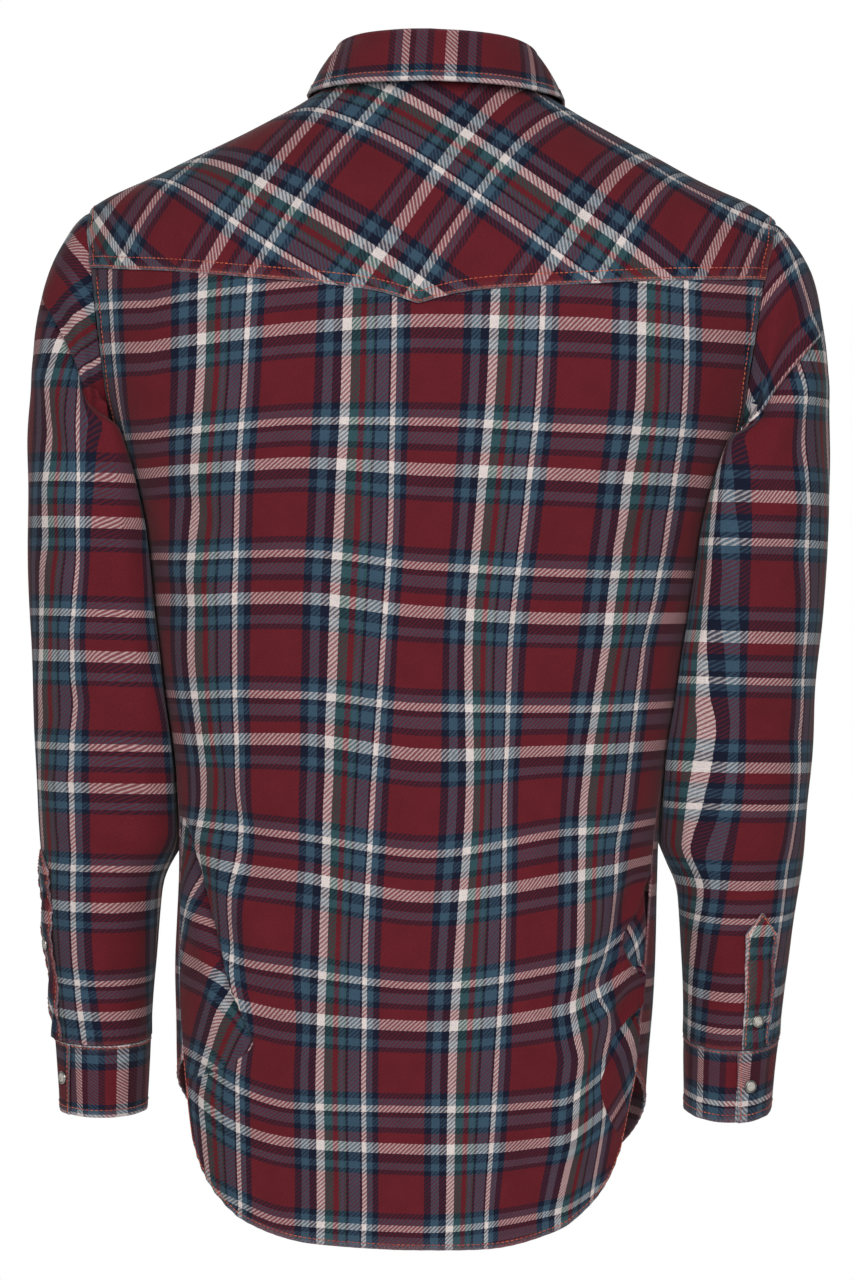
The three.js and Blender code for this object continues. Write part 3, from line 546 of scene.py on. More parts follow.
def shell(name, outer, normals, cloth, worn, nodes, thickness=CLOTH, round_=False):
    """A closed wall of cloth under a grid of points, with the cloth's own coordinates on both sides."""
    height, width = outer.shape[:2]
    inner = outer - normals * thickness
    outer = outer.copy()
    rim = [(slice(0, 1), slice(None)), (slice(-1, None), slice(None))]
    if not round_:
        rim += [(slice(None), slice(0, 1)), (slice(None), slice(-1, None))]
    on_rim = np.zeros((height, width, 1))
    for place in rim:
        on_rim[place] = 1
    outer -= normals * on_rim * RIM_ROUNDING
    inner += normals * on_rim * RIM_ROUNDING
    points = np.concatenate([outer.reshape(-1, 3), inner.reshape(-1, 3)])
    count = height * width
    faces = [grid_faces(height, width, 0, False, round_), grid_faces(height, width, count, True, round_)]
    index = np.arange(count).reshape(height, width)
    borders = [(index[0], True), (index[-1], False)]
    if round_:
        borders = [(np.append(line, line[0]), turned) for line, turned in borders]
    else:
        borders += [(index[:, 0], False), (index[:, -1], True)]
    for line, turned in borders:
        quad = np.stack([line[:-1], line[:-1] + count, line[1:] + count, line[1:]], -1)
        faces.append(quad if turned else quad[:, ::-1])
    faces = np.concatenate(faces)
    a, b, c = (points[faces[:count // 2, i]] for i in (0, 1, 2))
    facing = (np.cross(b - a, c - a) * normals.reshape(-1, 3)[faces[:count // 2, 0]]).sum()
    if facing < 0:
        faces = faces[:, ::-1]
    thing = new_mesh(name, points, faces, FLANNEL)
    mesh = thing.data
    loops = np.zeros(len(mesh.loops), int)
    mesh.loops.foreach_get("vertex_index", loops)
    both = np.concatenate([cloth.reshape(-1, 2), cloth.reshape(-1, 2)])
    layer = mesh.uv_layers.new(name="cloth")
    layer.data.foreach_set("uv", both[loops].ravel())
    wear = mesh.attributes.new("worn", "FLOAT", "POINT")
    wear.data.foreach_set("value", np.concatenate([worn.ravel(), 0.4 * worn.ravel()]))
    mesh.set_sharp_from_angle(angle=math.radians(62))
    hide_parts(*nodes)
    return thing


def grid_normals(grid, outward):
    """Normals of a free grid, turned the way that outward points."""
    down = np.gradient(grid, axis=0)
    across = np.gradient(grid, axis=1)
    normals = unit(np.cross(across, down))
    flip = np.sign((normals * outward).sum(-1, keepdims=True))
    return normals * np.where(flip == 0, 1, flip)


# Stitches
def line_at(grid, normals, distances, side, at):
    """The line on a grid at a distance from one side."""
    steps = distances[side]
    if side in ("left", "right"):
        steps, grid, normals = steps.T, grid.swapaxes(0, 1), normals.swapaxes(0, 1)
    if side in ("bottom", "right"):
        steps, grid, normals = steps[::-1], grid[::-1], normals[::-1]
    beyond = np.argmax(steps >= at, axis=0)
    beyond = np.clip(beyond, 1, len(steps) - 1)
    column = np.arange(steps.shape[1])
    low, high = steps[beyond - 1, column], steps[beyond, column]
    t = ((at - low) / np.maximum(high - low, 1e-6))[:, None]
    return mix(grid[beyond - 1, column], grid[beyond, column], t), normals[beyond, column]


def stitch_row(line, normals):
    """Short threads that lie along a line and dip into the cloth at both ends."""
    lengths = np.concatenate([[0], np.cumsum(np.linalg.norm(np.diff(line, axis=0), axis=1))])
    starts = np.arange(1.2, lengths[-1] - STITCH_LENGTH, STITCH_PITCH)
    read = lambda at, values: np.stack([np.interp(at, lengths, values[:, i]) for i in range(3)], -1)
    sides, rings = 5, ((0, -0.22, 0.5), (0.16, 0.1, 1), (0.5, 0.2, 1.08), (0.84, 0.1, 1), (1, -0.22, 0.5))
    points = []
    for share, lift, girth in rings:
        at = starts + STITCH_LENGTH * share
        centre = read(at, line)
        up = unit(read(at, normals))
        along = unit(read(at + 0.4, line) - read(at - 0.4, line))
        aside = unit(np.cross(up, along))
        for k in range(sides):
            angle = 2 * math.pi * k / sides
            turn = aside * math.cos(angle) + up * math.sin(angle)
            points.append(centre + up * lift + turn * THREAD_RADIUS * girth)
    points = np.stack(points, 1)
    faces = []
    for j in range(len(rings) - 1):
        for k in range(sides):
            n = (k + 1) % sides
            faces.append([j * sides + k, j * sides + n, (j + 1) * sides + n, (j + 1) * sides + k])
    every = len(rings) * sides
    quads = (np.arange(len(starts))[:, None, None] * every + np.array(faces)[None]).reshape(-1, 4)
    return points.reshape(-1, 3), quads


def stitching(name, rows_of_stitches):
    points, faces, count = [], [], 0
    for line, normals in rows_of_stitches:
        p, f = stitch_row(line, normals)
        points.append(p)
        faces.append(f + count)
        count += len(p)
    thing = new_mesh(name, np.concatenate(points), np.concatenate(faces), THREAD)
    return thing


# Materials
def colour(code):
    values = [int(code[i : i + 2], 16) / 255 for i in (1, 3, 5)]
    return (*[v / 12.92 if v <= 0.04045 else ((v + 0.055) / 1.055) ** 2.4 for v in values], 1)


NAVY, BLUE, WHITE, GREEN, RED = "#14192c", "#3a5365", "#e2d6d2", "#2c4f4c", "#661d26"
WARP = rows(
    ("yarn", "width"),
    (
        (NAVY, 5.1),
        (BLUE, 6.3),
        (NAVY, 5.6),
        (WHITE, 6.1),
        (GREEN, 6),
        (RED, 3.7),
        (GREEN, 1.8),
        (BLUE, 2),
        (GREEN, 1.8),
        (NAVY, 1.9),
        (BLUE, 7.8),
        (NAVY, 1.7),
        (WHITE, 3.2),
        (BLUE, 4.8),
        (NAVY, 4.4),
        (RED, 35.3),
    ),
)
WEFT = rows(
    ("yarn", "width"),
    (
        (NAVY, 4.2),
        (BLUE, 5.2),
        (WHITE, 4.8),
        (NAVY, 4.2),
        (BLUE, 7.8),
        (NAVY, 4.2),
        (RED, 8.1),
        (WHITE, 7.8),
        (NAVY, 7.4),
        (BLUE, 5.5),
        (NAVY, 3.6),
        (RED, 30.4),
    ),
)
WARP_START = 20.05
WEFT_START = 11.8
WARP_REPEAT = sum(stripe["width"] for stripe in WARP)
WEFT_REPEAT = sum(stripe["width"] for stripe in WEFT)
WIDE_WEFT = 30.6


class Nodes:
    """Short calls for building a material's nodes."""

    def __init__(self, name):
        self.material = bpy.data.materials.new(name)
        self.material.use_nodes = True
        self.tree = self.material.node_tree
        self.tree.nodes.clear()

    def add(self, kind, **values):
        node = self.tree.nodes.new(kind)
        for key, value in values.items():
            setattr(node, key, value)
        return node

    def join(self, source, socket):
        if hasattr(source, "is_output"):
            self.tree.links.new(source, socket)
        else:
            socket.default_value = source

    def math(self, operation, *inputs):
        node = self.add("ShaderNodeMath", operation=operation)
        for i, value in enumerate(inputs):
            self.join(value, node.inputs[i])
        return node.outputs[0]

    def noise(self, vector, scale, detail=2.0, out="Fac"):
        node = self.add("ShaderNodeTexNoise")
        self.join(vector, node.inputs["Vector"])
        node.inputs["Scale"].default_value = scale
        node.inputs["Detail"].default_value = detail
        return node.outputs[out]

    def blend(self, share, a, b, kind="MIX"):
        node = self.add("ShaderNodeMix", data_type="RGBA", blend_type=kind)
        self.join(share, node.inputs[0])
        self.join(a, node.inputs[6])
        self.join(b, node.inputs[7])
        return node.outputs[2]

    def power(self, value, exponent):
        node = self.add("ShaderNodeGamma")
        self.join(value, node.inputs[0])
        node.inputs[1].default_value = exponent
        return node.outputs[0]

    def span(self, value, low, high, to_low, to_high, kind="LINEAR"):
        node = self.add("ShaderNodeMapRange", interpolation_type=kind)
        self.join(value, node.inputs[0])
        for i, number in enumerate((low, high, to_low, to_high)):
            node.inputs[i + 1].default_value = number
        return node.outputs[0]

    def stripes(self, value, sett):
        node = self.add("ShaderNodeValToRGB")
        self.join(value, node.inputs[0])
        ramp = node.color_ramp
        ramp.interpolation = "CONSTANT"
        total = sum(stripe["width"] for stripe in sett)
        at = 0
        for i, stripe in enumerate(sett):
            stop = ramp.elements[0] if i == 0 else ramp.elements.new(at / total)
            stop.position = at / total
            stop.color = colour(stripe["yarn"])
            at += stripe["width"]
        ramp.elements.remove(ramp.elements[-1]) if len(ramp.elements) > len(sett) else None
        return node.outputs[0]

    def surface(self, colour_of, height, depth, **values):
        shader = self.add("ShaderNodeBsdfPrincipled")
        self.join(colour_of, shader.inputs["Base Color"])
        for key, value in values.items():
            self.join(value, shader.inputs[key.replace("_", " ")])
        if height is not None:
            bump = self.add("ShaderNodeBump")
            bump.inputs["Strength"].default_value = 1
            bump.inputs["Distance"].default_value = depth
            self.join(height, bump.inputs["Height"])
            self.join(bump.outputs[0], shader.inputs["Normal"])
        out = self.add("ShaderNodeOutputMaterial")
        self.join(shader.outputs[0], out.inputs[0])
        return self.material


def flannel():
    """A brushed twill in a common plaid, drawn from the cloth's own coordinates in millimetres."""
    n = Nodes("plaid_flannel")
    body = n.add("ShaderNodeUVMap", uv_map="cloth").outputs[0]
    turned = n.add("ShaderNodeUVMap", uv_map="turned").outputs[0]
    beyond = n.add("ShaderNodeAttribute", attribute_name="beyond_fold").outputs["Fac"]
    choice = n.add("ShaderNodeMix", data_type="VECTOR")
    n.join(n.math("GREATER_THAN", beyond, 0.001), choice.inputs[0])
    n.join(body, choice.inputs[4])
    n.join(turned, choice.inputs[5])
    place = choice.outputs[1]
    parts = n.add("ShaderNodeSeparateXYZ")
    n.join(place, parts.inputs[0])
    shake = n.add("ShaderNodeSeparateXYZ")
    n.join(n.noise(place, 0.55, 3, "Color"), shake.inputs[0])
    across = n.math("ADD", parts.outputs[0], n.math("MULTIPLY_ADD", shake.outputs[0], 0.9, -0.45))
    down = n.math("ADD", parts.outputs[1], n.math("MULTIPLY_ADD", shake.outputs[1], 0.9, -0.45))
    warp_at = n.math("FRACT", n.math("DIVIDE", n.math("ADD", across, WARP_START), WARP_REPEAT))
    weft_at = n.math("FRACT", n.math("DIVIDE", n.math("ADD", down, WEFT_START), WEFT_REPEAT))
    warp = n.stripes(warp_at, WARP)
    weft = n.stripes(weft_at, WEFT)
    diagonal = n.math("DIVIDE", n.math("ADD", across, down), TWILL_PERIOD)
    wave = n.math("ABSOLUTE", n.math("MULTIPLY_ADD", n.math("FRACT", diagonal), 2, -1))
    over = n.span(wave, 0.15, 0.7, 0.3, 0.77, "SMOOTHSTEP")
    cloth = n.power(n.blend(over, n.power(weft, 1 / 2.2), n.power(warp, 1 / 2.2)), 2.2)
    fuzz = n.noise(place, 1.1, 4)
    mottle = n.noise(place, 0.05, 3)
    tone = n.math("MULTIPLY", n.span(fuzz, 0.3, 0.7, 0.8, 1.2), n.span(mottle, 0.3, 0.7, 0.93, 1.07))
    shade = n.add("ShaderNodeCombineColor")
    for socket in shade.inputs:
        n.join(tone, socket)
    cloth = n.blend(1.0, cloth, shade.outputs[0], "MULTIPLY")
    worn = n.add("ShaderNodeAttribute", attribute_name="worn").outputs["Fac"]
    rubbed = n.math("MULTIPLY", worn, n.span(n.noise(place, 0.9, 3), 0.35, 0.65, 0.1, 0.75))
    cloth = n.blend(rubbed, cloth, colour("#a8949a"))
    nap = n.noise(place, 3.2, 2)
    height = n.math("ADD", n.math("MULTIPLY", wave, 0.5), n.math("MULTIPLY", nap, 0.9))
    rough = n.span(fuzz, 0.3, 0.7, 0.82, 0.96)
    return n.surface(
        cloth, height, 0.00022, Roughness=rough, Sheen_Weight=0.08, Sheen_Roughness=0.45, Specular_IOR_Level=0.14
    )


def thread():
    n = Nodes("seam_thread")
    place = n.add("ShaderNodeTexCoord").outputs["Object"]
    strands = n.noise(place, 2600, 2)
    tint = n.blend(n.span(n.noise(place, 90, 2), 0.35, 0.65, 0, 1), colour("#dd6a3c"), colour("#a83a2c"))
    return n.surface(tint, strands, 0.0001, Roughness=0.6, Sheen_Weight=0.2)


def silver():
    n = Nodes("snap_metal")
    place = n.add("ShaderNodeTexCoord").outputs["Object"]
    marks = n.noise(place, 900, 4)
    tint = n.blend(n.span(n.noise(place, 250, 3), 0.4, 0.7, 0, 1), colour("#c6c4c0"), colour("#8d8a86"))
    rough = n.span(marks, 0.3, 0.7, 0.22, 0.42)
    return n.surface(tint, marks, 0.00004, Metallic=1.0, Roughness=rough)


def pearl():
    n = Nodes("snap_pearl")
    place = n.add("ShaderNodeTexCoord").outputs["Object"]
    swirl = n.noise(place, 420, 5)
    tint = n.blend(n.span(swirl, 0.35, 0.65, 0, 1), colour("#a9a49c"), colour("#d7d2c8"))
    return n.surface(tint, swirl, 0.00003, Roughness=0.2, Coat_Weight=0.5, Coat_Roughness=0.1)


FLANNEL, THREAD, SILVER, PEARL = flannel(), thread(), silver(), pearl()


# Where the plaid's lines run on the back, charted line by line; lengths grow to the right from behind.
# Each warp line: its place in the cloth, then heights with lengths along the surface from the centre.
BACK_WARP = (
    (-261.2, ((-736, -192), (-638, -208), (-552, -209), (-464, -212), (-370, -233), (-274, -227),
              (-194, -218), (-138, -219))),
    (-195, ((-736, -140), (-693, -146), (-673, -149), (-660, -145), (-632, -135), (-600, -141), (-560, -150),
            (-514, -154), (-464, -149), (-370, -157), (-274, -153), (-194, -145), (-138, -144))),
    (-163.7, ((-736, -110), (-660, -114), (-624, -110), (-578, -122), (-539, -121), (-506, -116), (-464, -118.5),
              (-370, -121), (-274, -119), (-194, -114), (-138, -112))),
    (-97.5, ((-736, -51), (-638, -54), (-552, -54), (-464, -54), (-370, -52), (-274, -49), (-194, -46), (-138, -46))),
    (-66.2, ((-736, -22), (-638, -25), (-552, -26), (-464, -24), (-370, -19), (-274, -15), (-194, -15), (-138, -16))),
    (0, ((-736, 34), (-638, 33), (-552, 36), (-464, 40), (-370, 37), (-274, 43), (-194, 49), (-138, 50))),
    (31.3, ((-736, 58), (-638, 62), (-552, 64), (-464, 63), (-370, 64), (-274, 73), (-194, 80), (-138, 81))),
    (97.5, ((-736, 107), (-712, 113), (-689, 118), (-661, 119), (-638, 121), (-624, 117), (-602, 113), (-584, 116),
            (-560, 116), (-464, 117), (-370, 128), (-274, 139), (-194, 147), (-138, 146))),
    (128.8, ((-736, 133), (-713, 136), (-672, 141), (-648, 138), (-634, 141), (-616, 144), (-598, 133), (-587, 130),
             (-572, 137), (-546, 142), (-520, 141), (-464, 149), (-370, 157), (-274, 176), (-194, 179), (-138, 176))),
    (195, ((-736, 188), (-638, 207), (-552, 205), (-464, 219), (-370, 218), (-274, 257), (-194, 252), (-138, 244))),
)
BACK_WARP_READ = [smooth_column(*zip(*line)) for _, line in BACK_WARP]

# Each weft line: its place in the cloth, and its heights at nine places across
BACK_WEFT_X = (-185, -154, -130, -104, -12, 73, 110, 152, 180)
BACK_WEFT = (
    (-62.6, -160, -158, -157, -156, -156, -162, -166, -171, -175),
    (0, -224, -224, -224, -224, -222, -223, -226, -230, -233),
    (30.6, -255, -255, -255, -254, -253, -250, -252, -255, -257),
    (93.2, -316, -317, -318, -318, -316, -309, -310, -312, -312),
    (123.8, -345, -346, -347, -348, -346, -338, -339, -341, -341),
    (186.4, -402, -404, -406, -407, -408, -402, -402, -404, -404),
    (217, -429, -431, -433, -434, -439, -431, -432, -434, -434),
    (279.6, -478, -482, -486, -488, -504, -495, -492, -489, -487),
    (310.2, -504, -508, -513, -518, -532, -521, -518, -511, -508),
    (372.8, -540, -548, -566, -576, -590, -583, -579, -566, -561),
    (403.4, -570, -576, -591, -604, -616, -613, -607, -592, -585),
    (466, -612, -622, -648, -665, -670, -671, -663, -643, -638),
    (496.6, -640, -650, -674, -690, -696, -695, -688, -667, -660),
    (559.2, -700, -706, -722, -736, -748, -747, -737, -722, -716),
)
BACK_WEFT_READ = [smooth_column(BACK_WEFT_X, line[1:]) for line in BACK_WEFT]

# Low on each side a fold turns the cloth: where its edge runs, and how the plaid lies beyond it
FLANK_EDGE = {
    1: table(
        ("z", "x"),
        ((-680, 300), (-664, 160), (-648, 118), (-632, 100), (-620, 105), (-595, 118), (-566, 128), (-528, 141),
         (-488, 154), (-470, 300)),
    ),
    -1: table(
        ("z", "x"),
        ((-725, 300), (-702, 152), (-688, 141), (-672, 133), (-654, 129), (-644, 132), (-625, 138), (-612, 147),
         (-598, 158), (-585, 157), (-574, 146), (-560, 143), (-540, 152), (-520, 158), (-500, 300)),
    ),
}
FLANK_TURN = math.radians(26)
FLANK_STRETCH = 1.02
FLANK_LINE = {
    1: table(("arc", "z"), ((-200, -575), (-179, -579), (-149, -584), (-134, -589), (-122, -597), (-110, -608))),
    -1: table(("arc", "z"), ((120, -662), (140, -640), (160, -618), (180, -600), (200, -588))),
}
FLANK_HOME = {1: (-195, 403.4, -120, -598), -1: (195, 419, 158, -612)}


def between(at, marks, values):
    """Reads values at the place of each point among its own rising marks."""
    i = np.clip((marks <= at[None]).sum(0) - 1, 0, len(values) - 2)
    low = np.take_along_axis(marks, i[None], 0)[0]
    high = np.take_along_axis(marks, i[None] + 1, 0)[0]
    values = np.asarray(values, float)
    return values[i] + (values[i + 1] - values[i]) * (at - low) / (high - low)


def back_cloth(p):
    x, z = p[..., 0], p[..., 2]
    arc = -torso_arc(x, z)
    across = between(arc, np.stack([read(z) for read in BACK_WARP_READ]), [line[0] for line in BACK_WARP])
    heights = np.stack([-read(x) for read in BACK_WEFT_READ])
    down = between(-z, heights, [line[0] for line in BACK_WEFT])
    return np.stack([across, down], -1)


def beyond_flank(x, z):
    """How far a place lies beyond the fold on its own side of the back."""
    return np.where(x > 0, x - FLANK_EDGE[1]["x"](z), -x - FLANK_EDGE[-1]["x"](z))


def flank_cloth(x, z):
    """The plaid beyond the folds, turned and shifted because the fold swallows cloth."""
    arc = -torso_arc(x, z)
    places = []
    for side in (1, -1):
        across, down, home_arc, home_z = FLANK_HOME[side]
        turned = (arc - home_arc) * math.cos(FLANK_TURN) + side * (home_z - z) * math.sin(FLANK_TURN)
        places.append(np.stack([across + turned, down + FLANK_STRETCH * (FLANK_LINE[side]["z"](arc) - z)], -1))
    return np.where((x > 0)[..., None], *places)


def ledge(above, width_over, width_under, rise, drop):
    """Cloth that hangs over the cloth beside it: positive distances are on the upper layer."""
    over = rise * np.exp(-((above / width_over) ** 2))
    under = -drop * np.exp(-((above / width_under) ** 2))
    return mix(under, over, ease(above / 2.2 + 0.5))


def front_cloth(p):
    x, z = p[..., 0], p[..., 2]
    return np.stack([torso_arc(x, z) * 1.02 - 48, -1.02 * z - 228], -1)


def beside_sleeve(p):
    """Fades the relief where the sleeves lie against the body."""
    side = np.abs(p[..., 0]) / section(p[..., 2])[0]
    along_arm = ease((-225 - p[..., 2]) / 20) * ease((p[..., 2] + 530) / 40)
    return 1 - 0.85 * ease((side - 0.92) / 0.05) * along_arm


# The back
def torso_rows(corner_turn, corner_z, arm_rows, side_rows):
    arm = armhole_point(mix(corner_turn, math.copysign(180, corner_turn), np.linspace(0, 1, arm_rows)))[:, 2]
    side = mix(ARMPIT, SIDE_SEAM_END, np.linspace(0, 1, side_rows))[1:]
    edge = np.concatenate([arm, side])
    even = (corner_z - edge) / (corner_z - SIDE_SEAM_END)
    return np.concatenate([[0, 0.001], even[1:-1], [0.999, 1]])


def make_back():
    across = 2 * side_steps(170) - 1
    share = np.abs(across)[None]
    top = YOKE_SEAM["z"](share * BACK_CORNER[0])
    top = mix(top, BACK_CORNER[2], ease((share - 0.9) / 0.1))
    bottom = HEM["back"](share)
    down = torso_rows(BACK_CORNER_TURN, BACK_CORNER[2], 34, 118)[:, None]
    z = mix(top, bottom, down)
    plain = panel_point(share + 0 * z, z, False)
    plain[..., 0] *= np.sign(across)[None] + (across == 0)[None]
    normals = torso_normal(plain)
    distance = edge_distances(plain)
    x, z = plain[..., 0], plain[..., 2]
    face = np.ones_like(x)
    push = fold_push(FOLDS + SMALL_FOLDS, x, z, face) + rumple(x, z, 1.3)
    beyond = beyond_flank(x, z)
    push += ledge(-beyond, 12, 9, 2.4, 3.4) * ease((-478 - z) / 40) * ease((z + 640) / 16)
    push *= beside_sleeve(plain)
    push += seam_relief(distance["bottom"], distance["left"], (3.5,), 0.45, 5.5, 0.5)
    sides = np.minimum(distance["left"], distance["right"])
    push += seam_relief(sides, distance["top"], (6.5,), 0.5, 8, 0.35) * ease((z - ARMPIT + 12) / 12)
    push += seam_relief(sides, distance["top"], (), 0, 0, 0.3) * ease((ARMPIT - z) / 12)
    push += -0.5 * ease((14 - distance["top"]) / 12)
    outer = plain + normals * push[..., None]
    worn = np.exp(-distance["bottom"] / 1.6) + 0.8 * np.exp(-sides / 1.3)
    cloth = back_cloth(plain)
    thing = shell("shirt_back", outer, normals, cloth, np.clip(worn, 0, 1), ["back"])
    add_turned(thing.data, flank_cloth(x, z), beyond)
    hem = line_at(outer, normals, distance, "bottom", 3.5)
    arm_rows = slice(2, 34)
    arms = []
    for side in ("left", "right"):
        line, up = line_at(outer, normals, distance, side, 6.5)
        arms.append((line[arm_rows], up[arm_rows]))
    threads = [stitching("stitching_back_hem", [hem]), stitching("stitching_back_armholes", arms)]


# The yoke, laid flat by its lengths along the body
RAY_CENTRE_Z = -120


def ray_point(x, turn):
    far = np.full(np.broadcast(x, turn).shape, 220.0)
    reach = bisect(
        lambda r: outsideness(x, r * np.cos(turn), RAY_CENTRE_Z + r * np.sin(turn)) < 0, 0 * far, far
    )
    return np.stack([x + 0 * reach, reach * np.cos(turn), RAY_CENTRE_Z + reach * np.sin(turn)], -1)


YOKE_TILT = math.radians(32.8)
YOKE_SHIFT = table(
    ("right_of_centre", "right", "down"),
    (
        (-200, 8, -20),
        (-160, 7, -13),
        (-110, 6, -6),
        (-60, 3, -1),
        (-10, -1, 0),
        (40, -1, -0.5),
        (92, -4, -5),
        (142, -6, -9),
        (167, -5.5, -12),
        (200, -5, -16),
    ),
)
YOKE_DROP = table(
    ("z", "down"),
    ((-150, -9.5), (-130, -8.5), (-105, -6.8), (-81, -4.5), (-56, -1.8), (-32, 0), (0, 0)),
)
YOKE_CROSSING_X = 26


def yoke_cloth(x, turn):
    """Bias cut: both sets of stripes slope, and meet at a crossing near the middle of the neck."""
    stations = np.linspace(-232, 232, 59)
    turns = np.radians(np.linspace(-20, 190, 106))
    line = ray_point(stations[None, :], turns[:, None])
    steps = np.linalg.norm(np.diff(line, axis=0), axis=-1)
    lengths = np.concatenate([np.zeros((1, len(stations))), np.cumsum(steps, 0)])
    at_x = (np.clip(x, -231.9, 231.9) + 232) / 8
    at_turn = (turn - turns[0]) / (turns[1] - turns[0])
    i, j = np.floor(at_turn).astype(int), np.floor(at_x).astype(int)
    s, t = at_turn - i, at_x - j
    read = mix(mix(lengths[i, j], lengths[i, j + 1], t), mix(lengths[i + 1, j], lengths[i + 1, j + 1], t), s)
    crossing = ray_point(np.array([-float(YOKE_CROSSING_X)]), np.array([math.atan2(92, 73)]))
    middle_turn = math.atan2(crossing[0, 2] - RAY_CENTRE_Z, crossing[0, 1])
    home = np.interp(middle_turn, turns, lengths[:, 26])
    right = -x * (1 + 0.12 * (np.abs(x) / 230) ** 2) - YOKE_CROSSING_X + YOKE_SHIFT["right"](-x)
    down = home - read + YOKE_SHIFT["down"](-x) + YOKE_DROP["down"](ray_point(x, turn)[..., 2])
    across = -right * math.sin(YOKE_TILT) + down * math.cos(YOKE_TILT)
    along = -right * math.cos(YOKE_TILT) - down * math.sin(YOKE_TILT)
    return np.stack([across, along + WIDE_WEFT], -1)


def make_yoke():
    across = 2 * side_steps(150) - 1
    share = np.abs(across)
    neck_share = 0.56
    on_neck = share <= neck_share
    neck = neck_point(NECK_CORNER_TURN * np.minimum(share / neck_share, 1))
    seam = forward_seam_point(np.clip((share - neck_share) / (1 - neck_share), 0, 1))
    top = np.where(on_neck[:, None], neck, seam)
    z = YOKE_SEAM["z"](share * BACK_CORNER[0])
    z = mix(z, BACK_CORNER[2], ease((share - 0.9) / 0.1))
    bottom = panel_point(share, z, False)
    down = side_steps(56)
    armhole = armhole_point(mix(FRONT_CORNER_TURN, BACK_CORNER_TURN, down))
    ray_turn = lambda p: np.arctan2(p[..., 2] - RAY_CENTRE_Z, p[..., 1])
    last = -1

    def blend(read):
        rail = mix(read(top)[None], read(bottom)[None], down[:, None])
        straight = mix(read(top[last]), read(bottom[last]), down)[:, None]
        return rail + share[None] ** 2 * (read(armhole)[:, None] - straight)

    x, turn = blend(lambda p: p[..., 0]), blend(ray_turn)
    plain = ray_point(x, turn)
    plain[0] = top
    cloth = yoke_cloth(x * np.sign(across + 1e-9)[None], turn)
    plain[..., 0] *= np.sign(across + 1e-9)[None]
    normals = torso_normal(plain)
    distance = edge_distances(plain)
    sides = np.minimum(distance["left"], distance["right"])
    x, y, z = plain[..., 0], plain[..., 1], plain[..., 2]
    push = rumple(x, z + y, 2.1) * 0.7
    push += seam_relief(distance["bottom"], distance["left"], (1.7, 8), 0.9, 9.5, 0.28)
    push += seam_relief(sides, distance["top"], (6.5,), 0.5, 8, 0.35)
    push += seam_relief(distance["top"], distance["left"], (4,), 0.3, 5.5, 0.2)
    outer = plain + normals * push[..., None]
    worn = 0.9 * np.exp(-distance["bottom"] / 1.1) + 0.8 * np.exp(-sides / 1.3)
    thing = shell("shirt_yoke", outer, normals, cloth, np.clip(worn, 0, 1), ["yoke"])
    lines = [line_at(outer, normals, distance, "bottom", at) for at in (1.7, 8)]
    arms = [line_at(outer, normals, distance, side, 6.5) for side in ("left", "right")]
    threads = [stitching("stitching_yoke_edge", lines), stitching("stitching_yoke_armholes", arms)]


# The fronts
def front_point(share, z):
    low = panel_point(share, z, True, PLACKET_HALF_WIDTH)
    x = mix(PLACKET_HALF_WIDTH, FRONT_CORNER[0], share)
    high = torso_point(turn_at_x(x, z, True), z)
    return np.where((z <= FRONT_CORNER[2])[..., None], low, high)


def neck_front_height(x):
    return neck_point(180 - np.degrees(np.arcsin(np.abs(x) / NECK_HALF_WIDTH)))[..., 2]


def front_tops():
    """The front's upper edge from the armhole to the placket: distances from the centre and heights."""
    seam = forward_seam_point(1 - side_steps(60)[:-1])
    neck = neck_point(mix(NECK_CORNER_TURN, 163, np.linspace(0, 1, 34)))
    top = np.concatenate([seam, neck])
    return top[:, 0], top[:, 2]


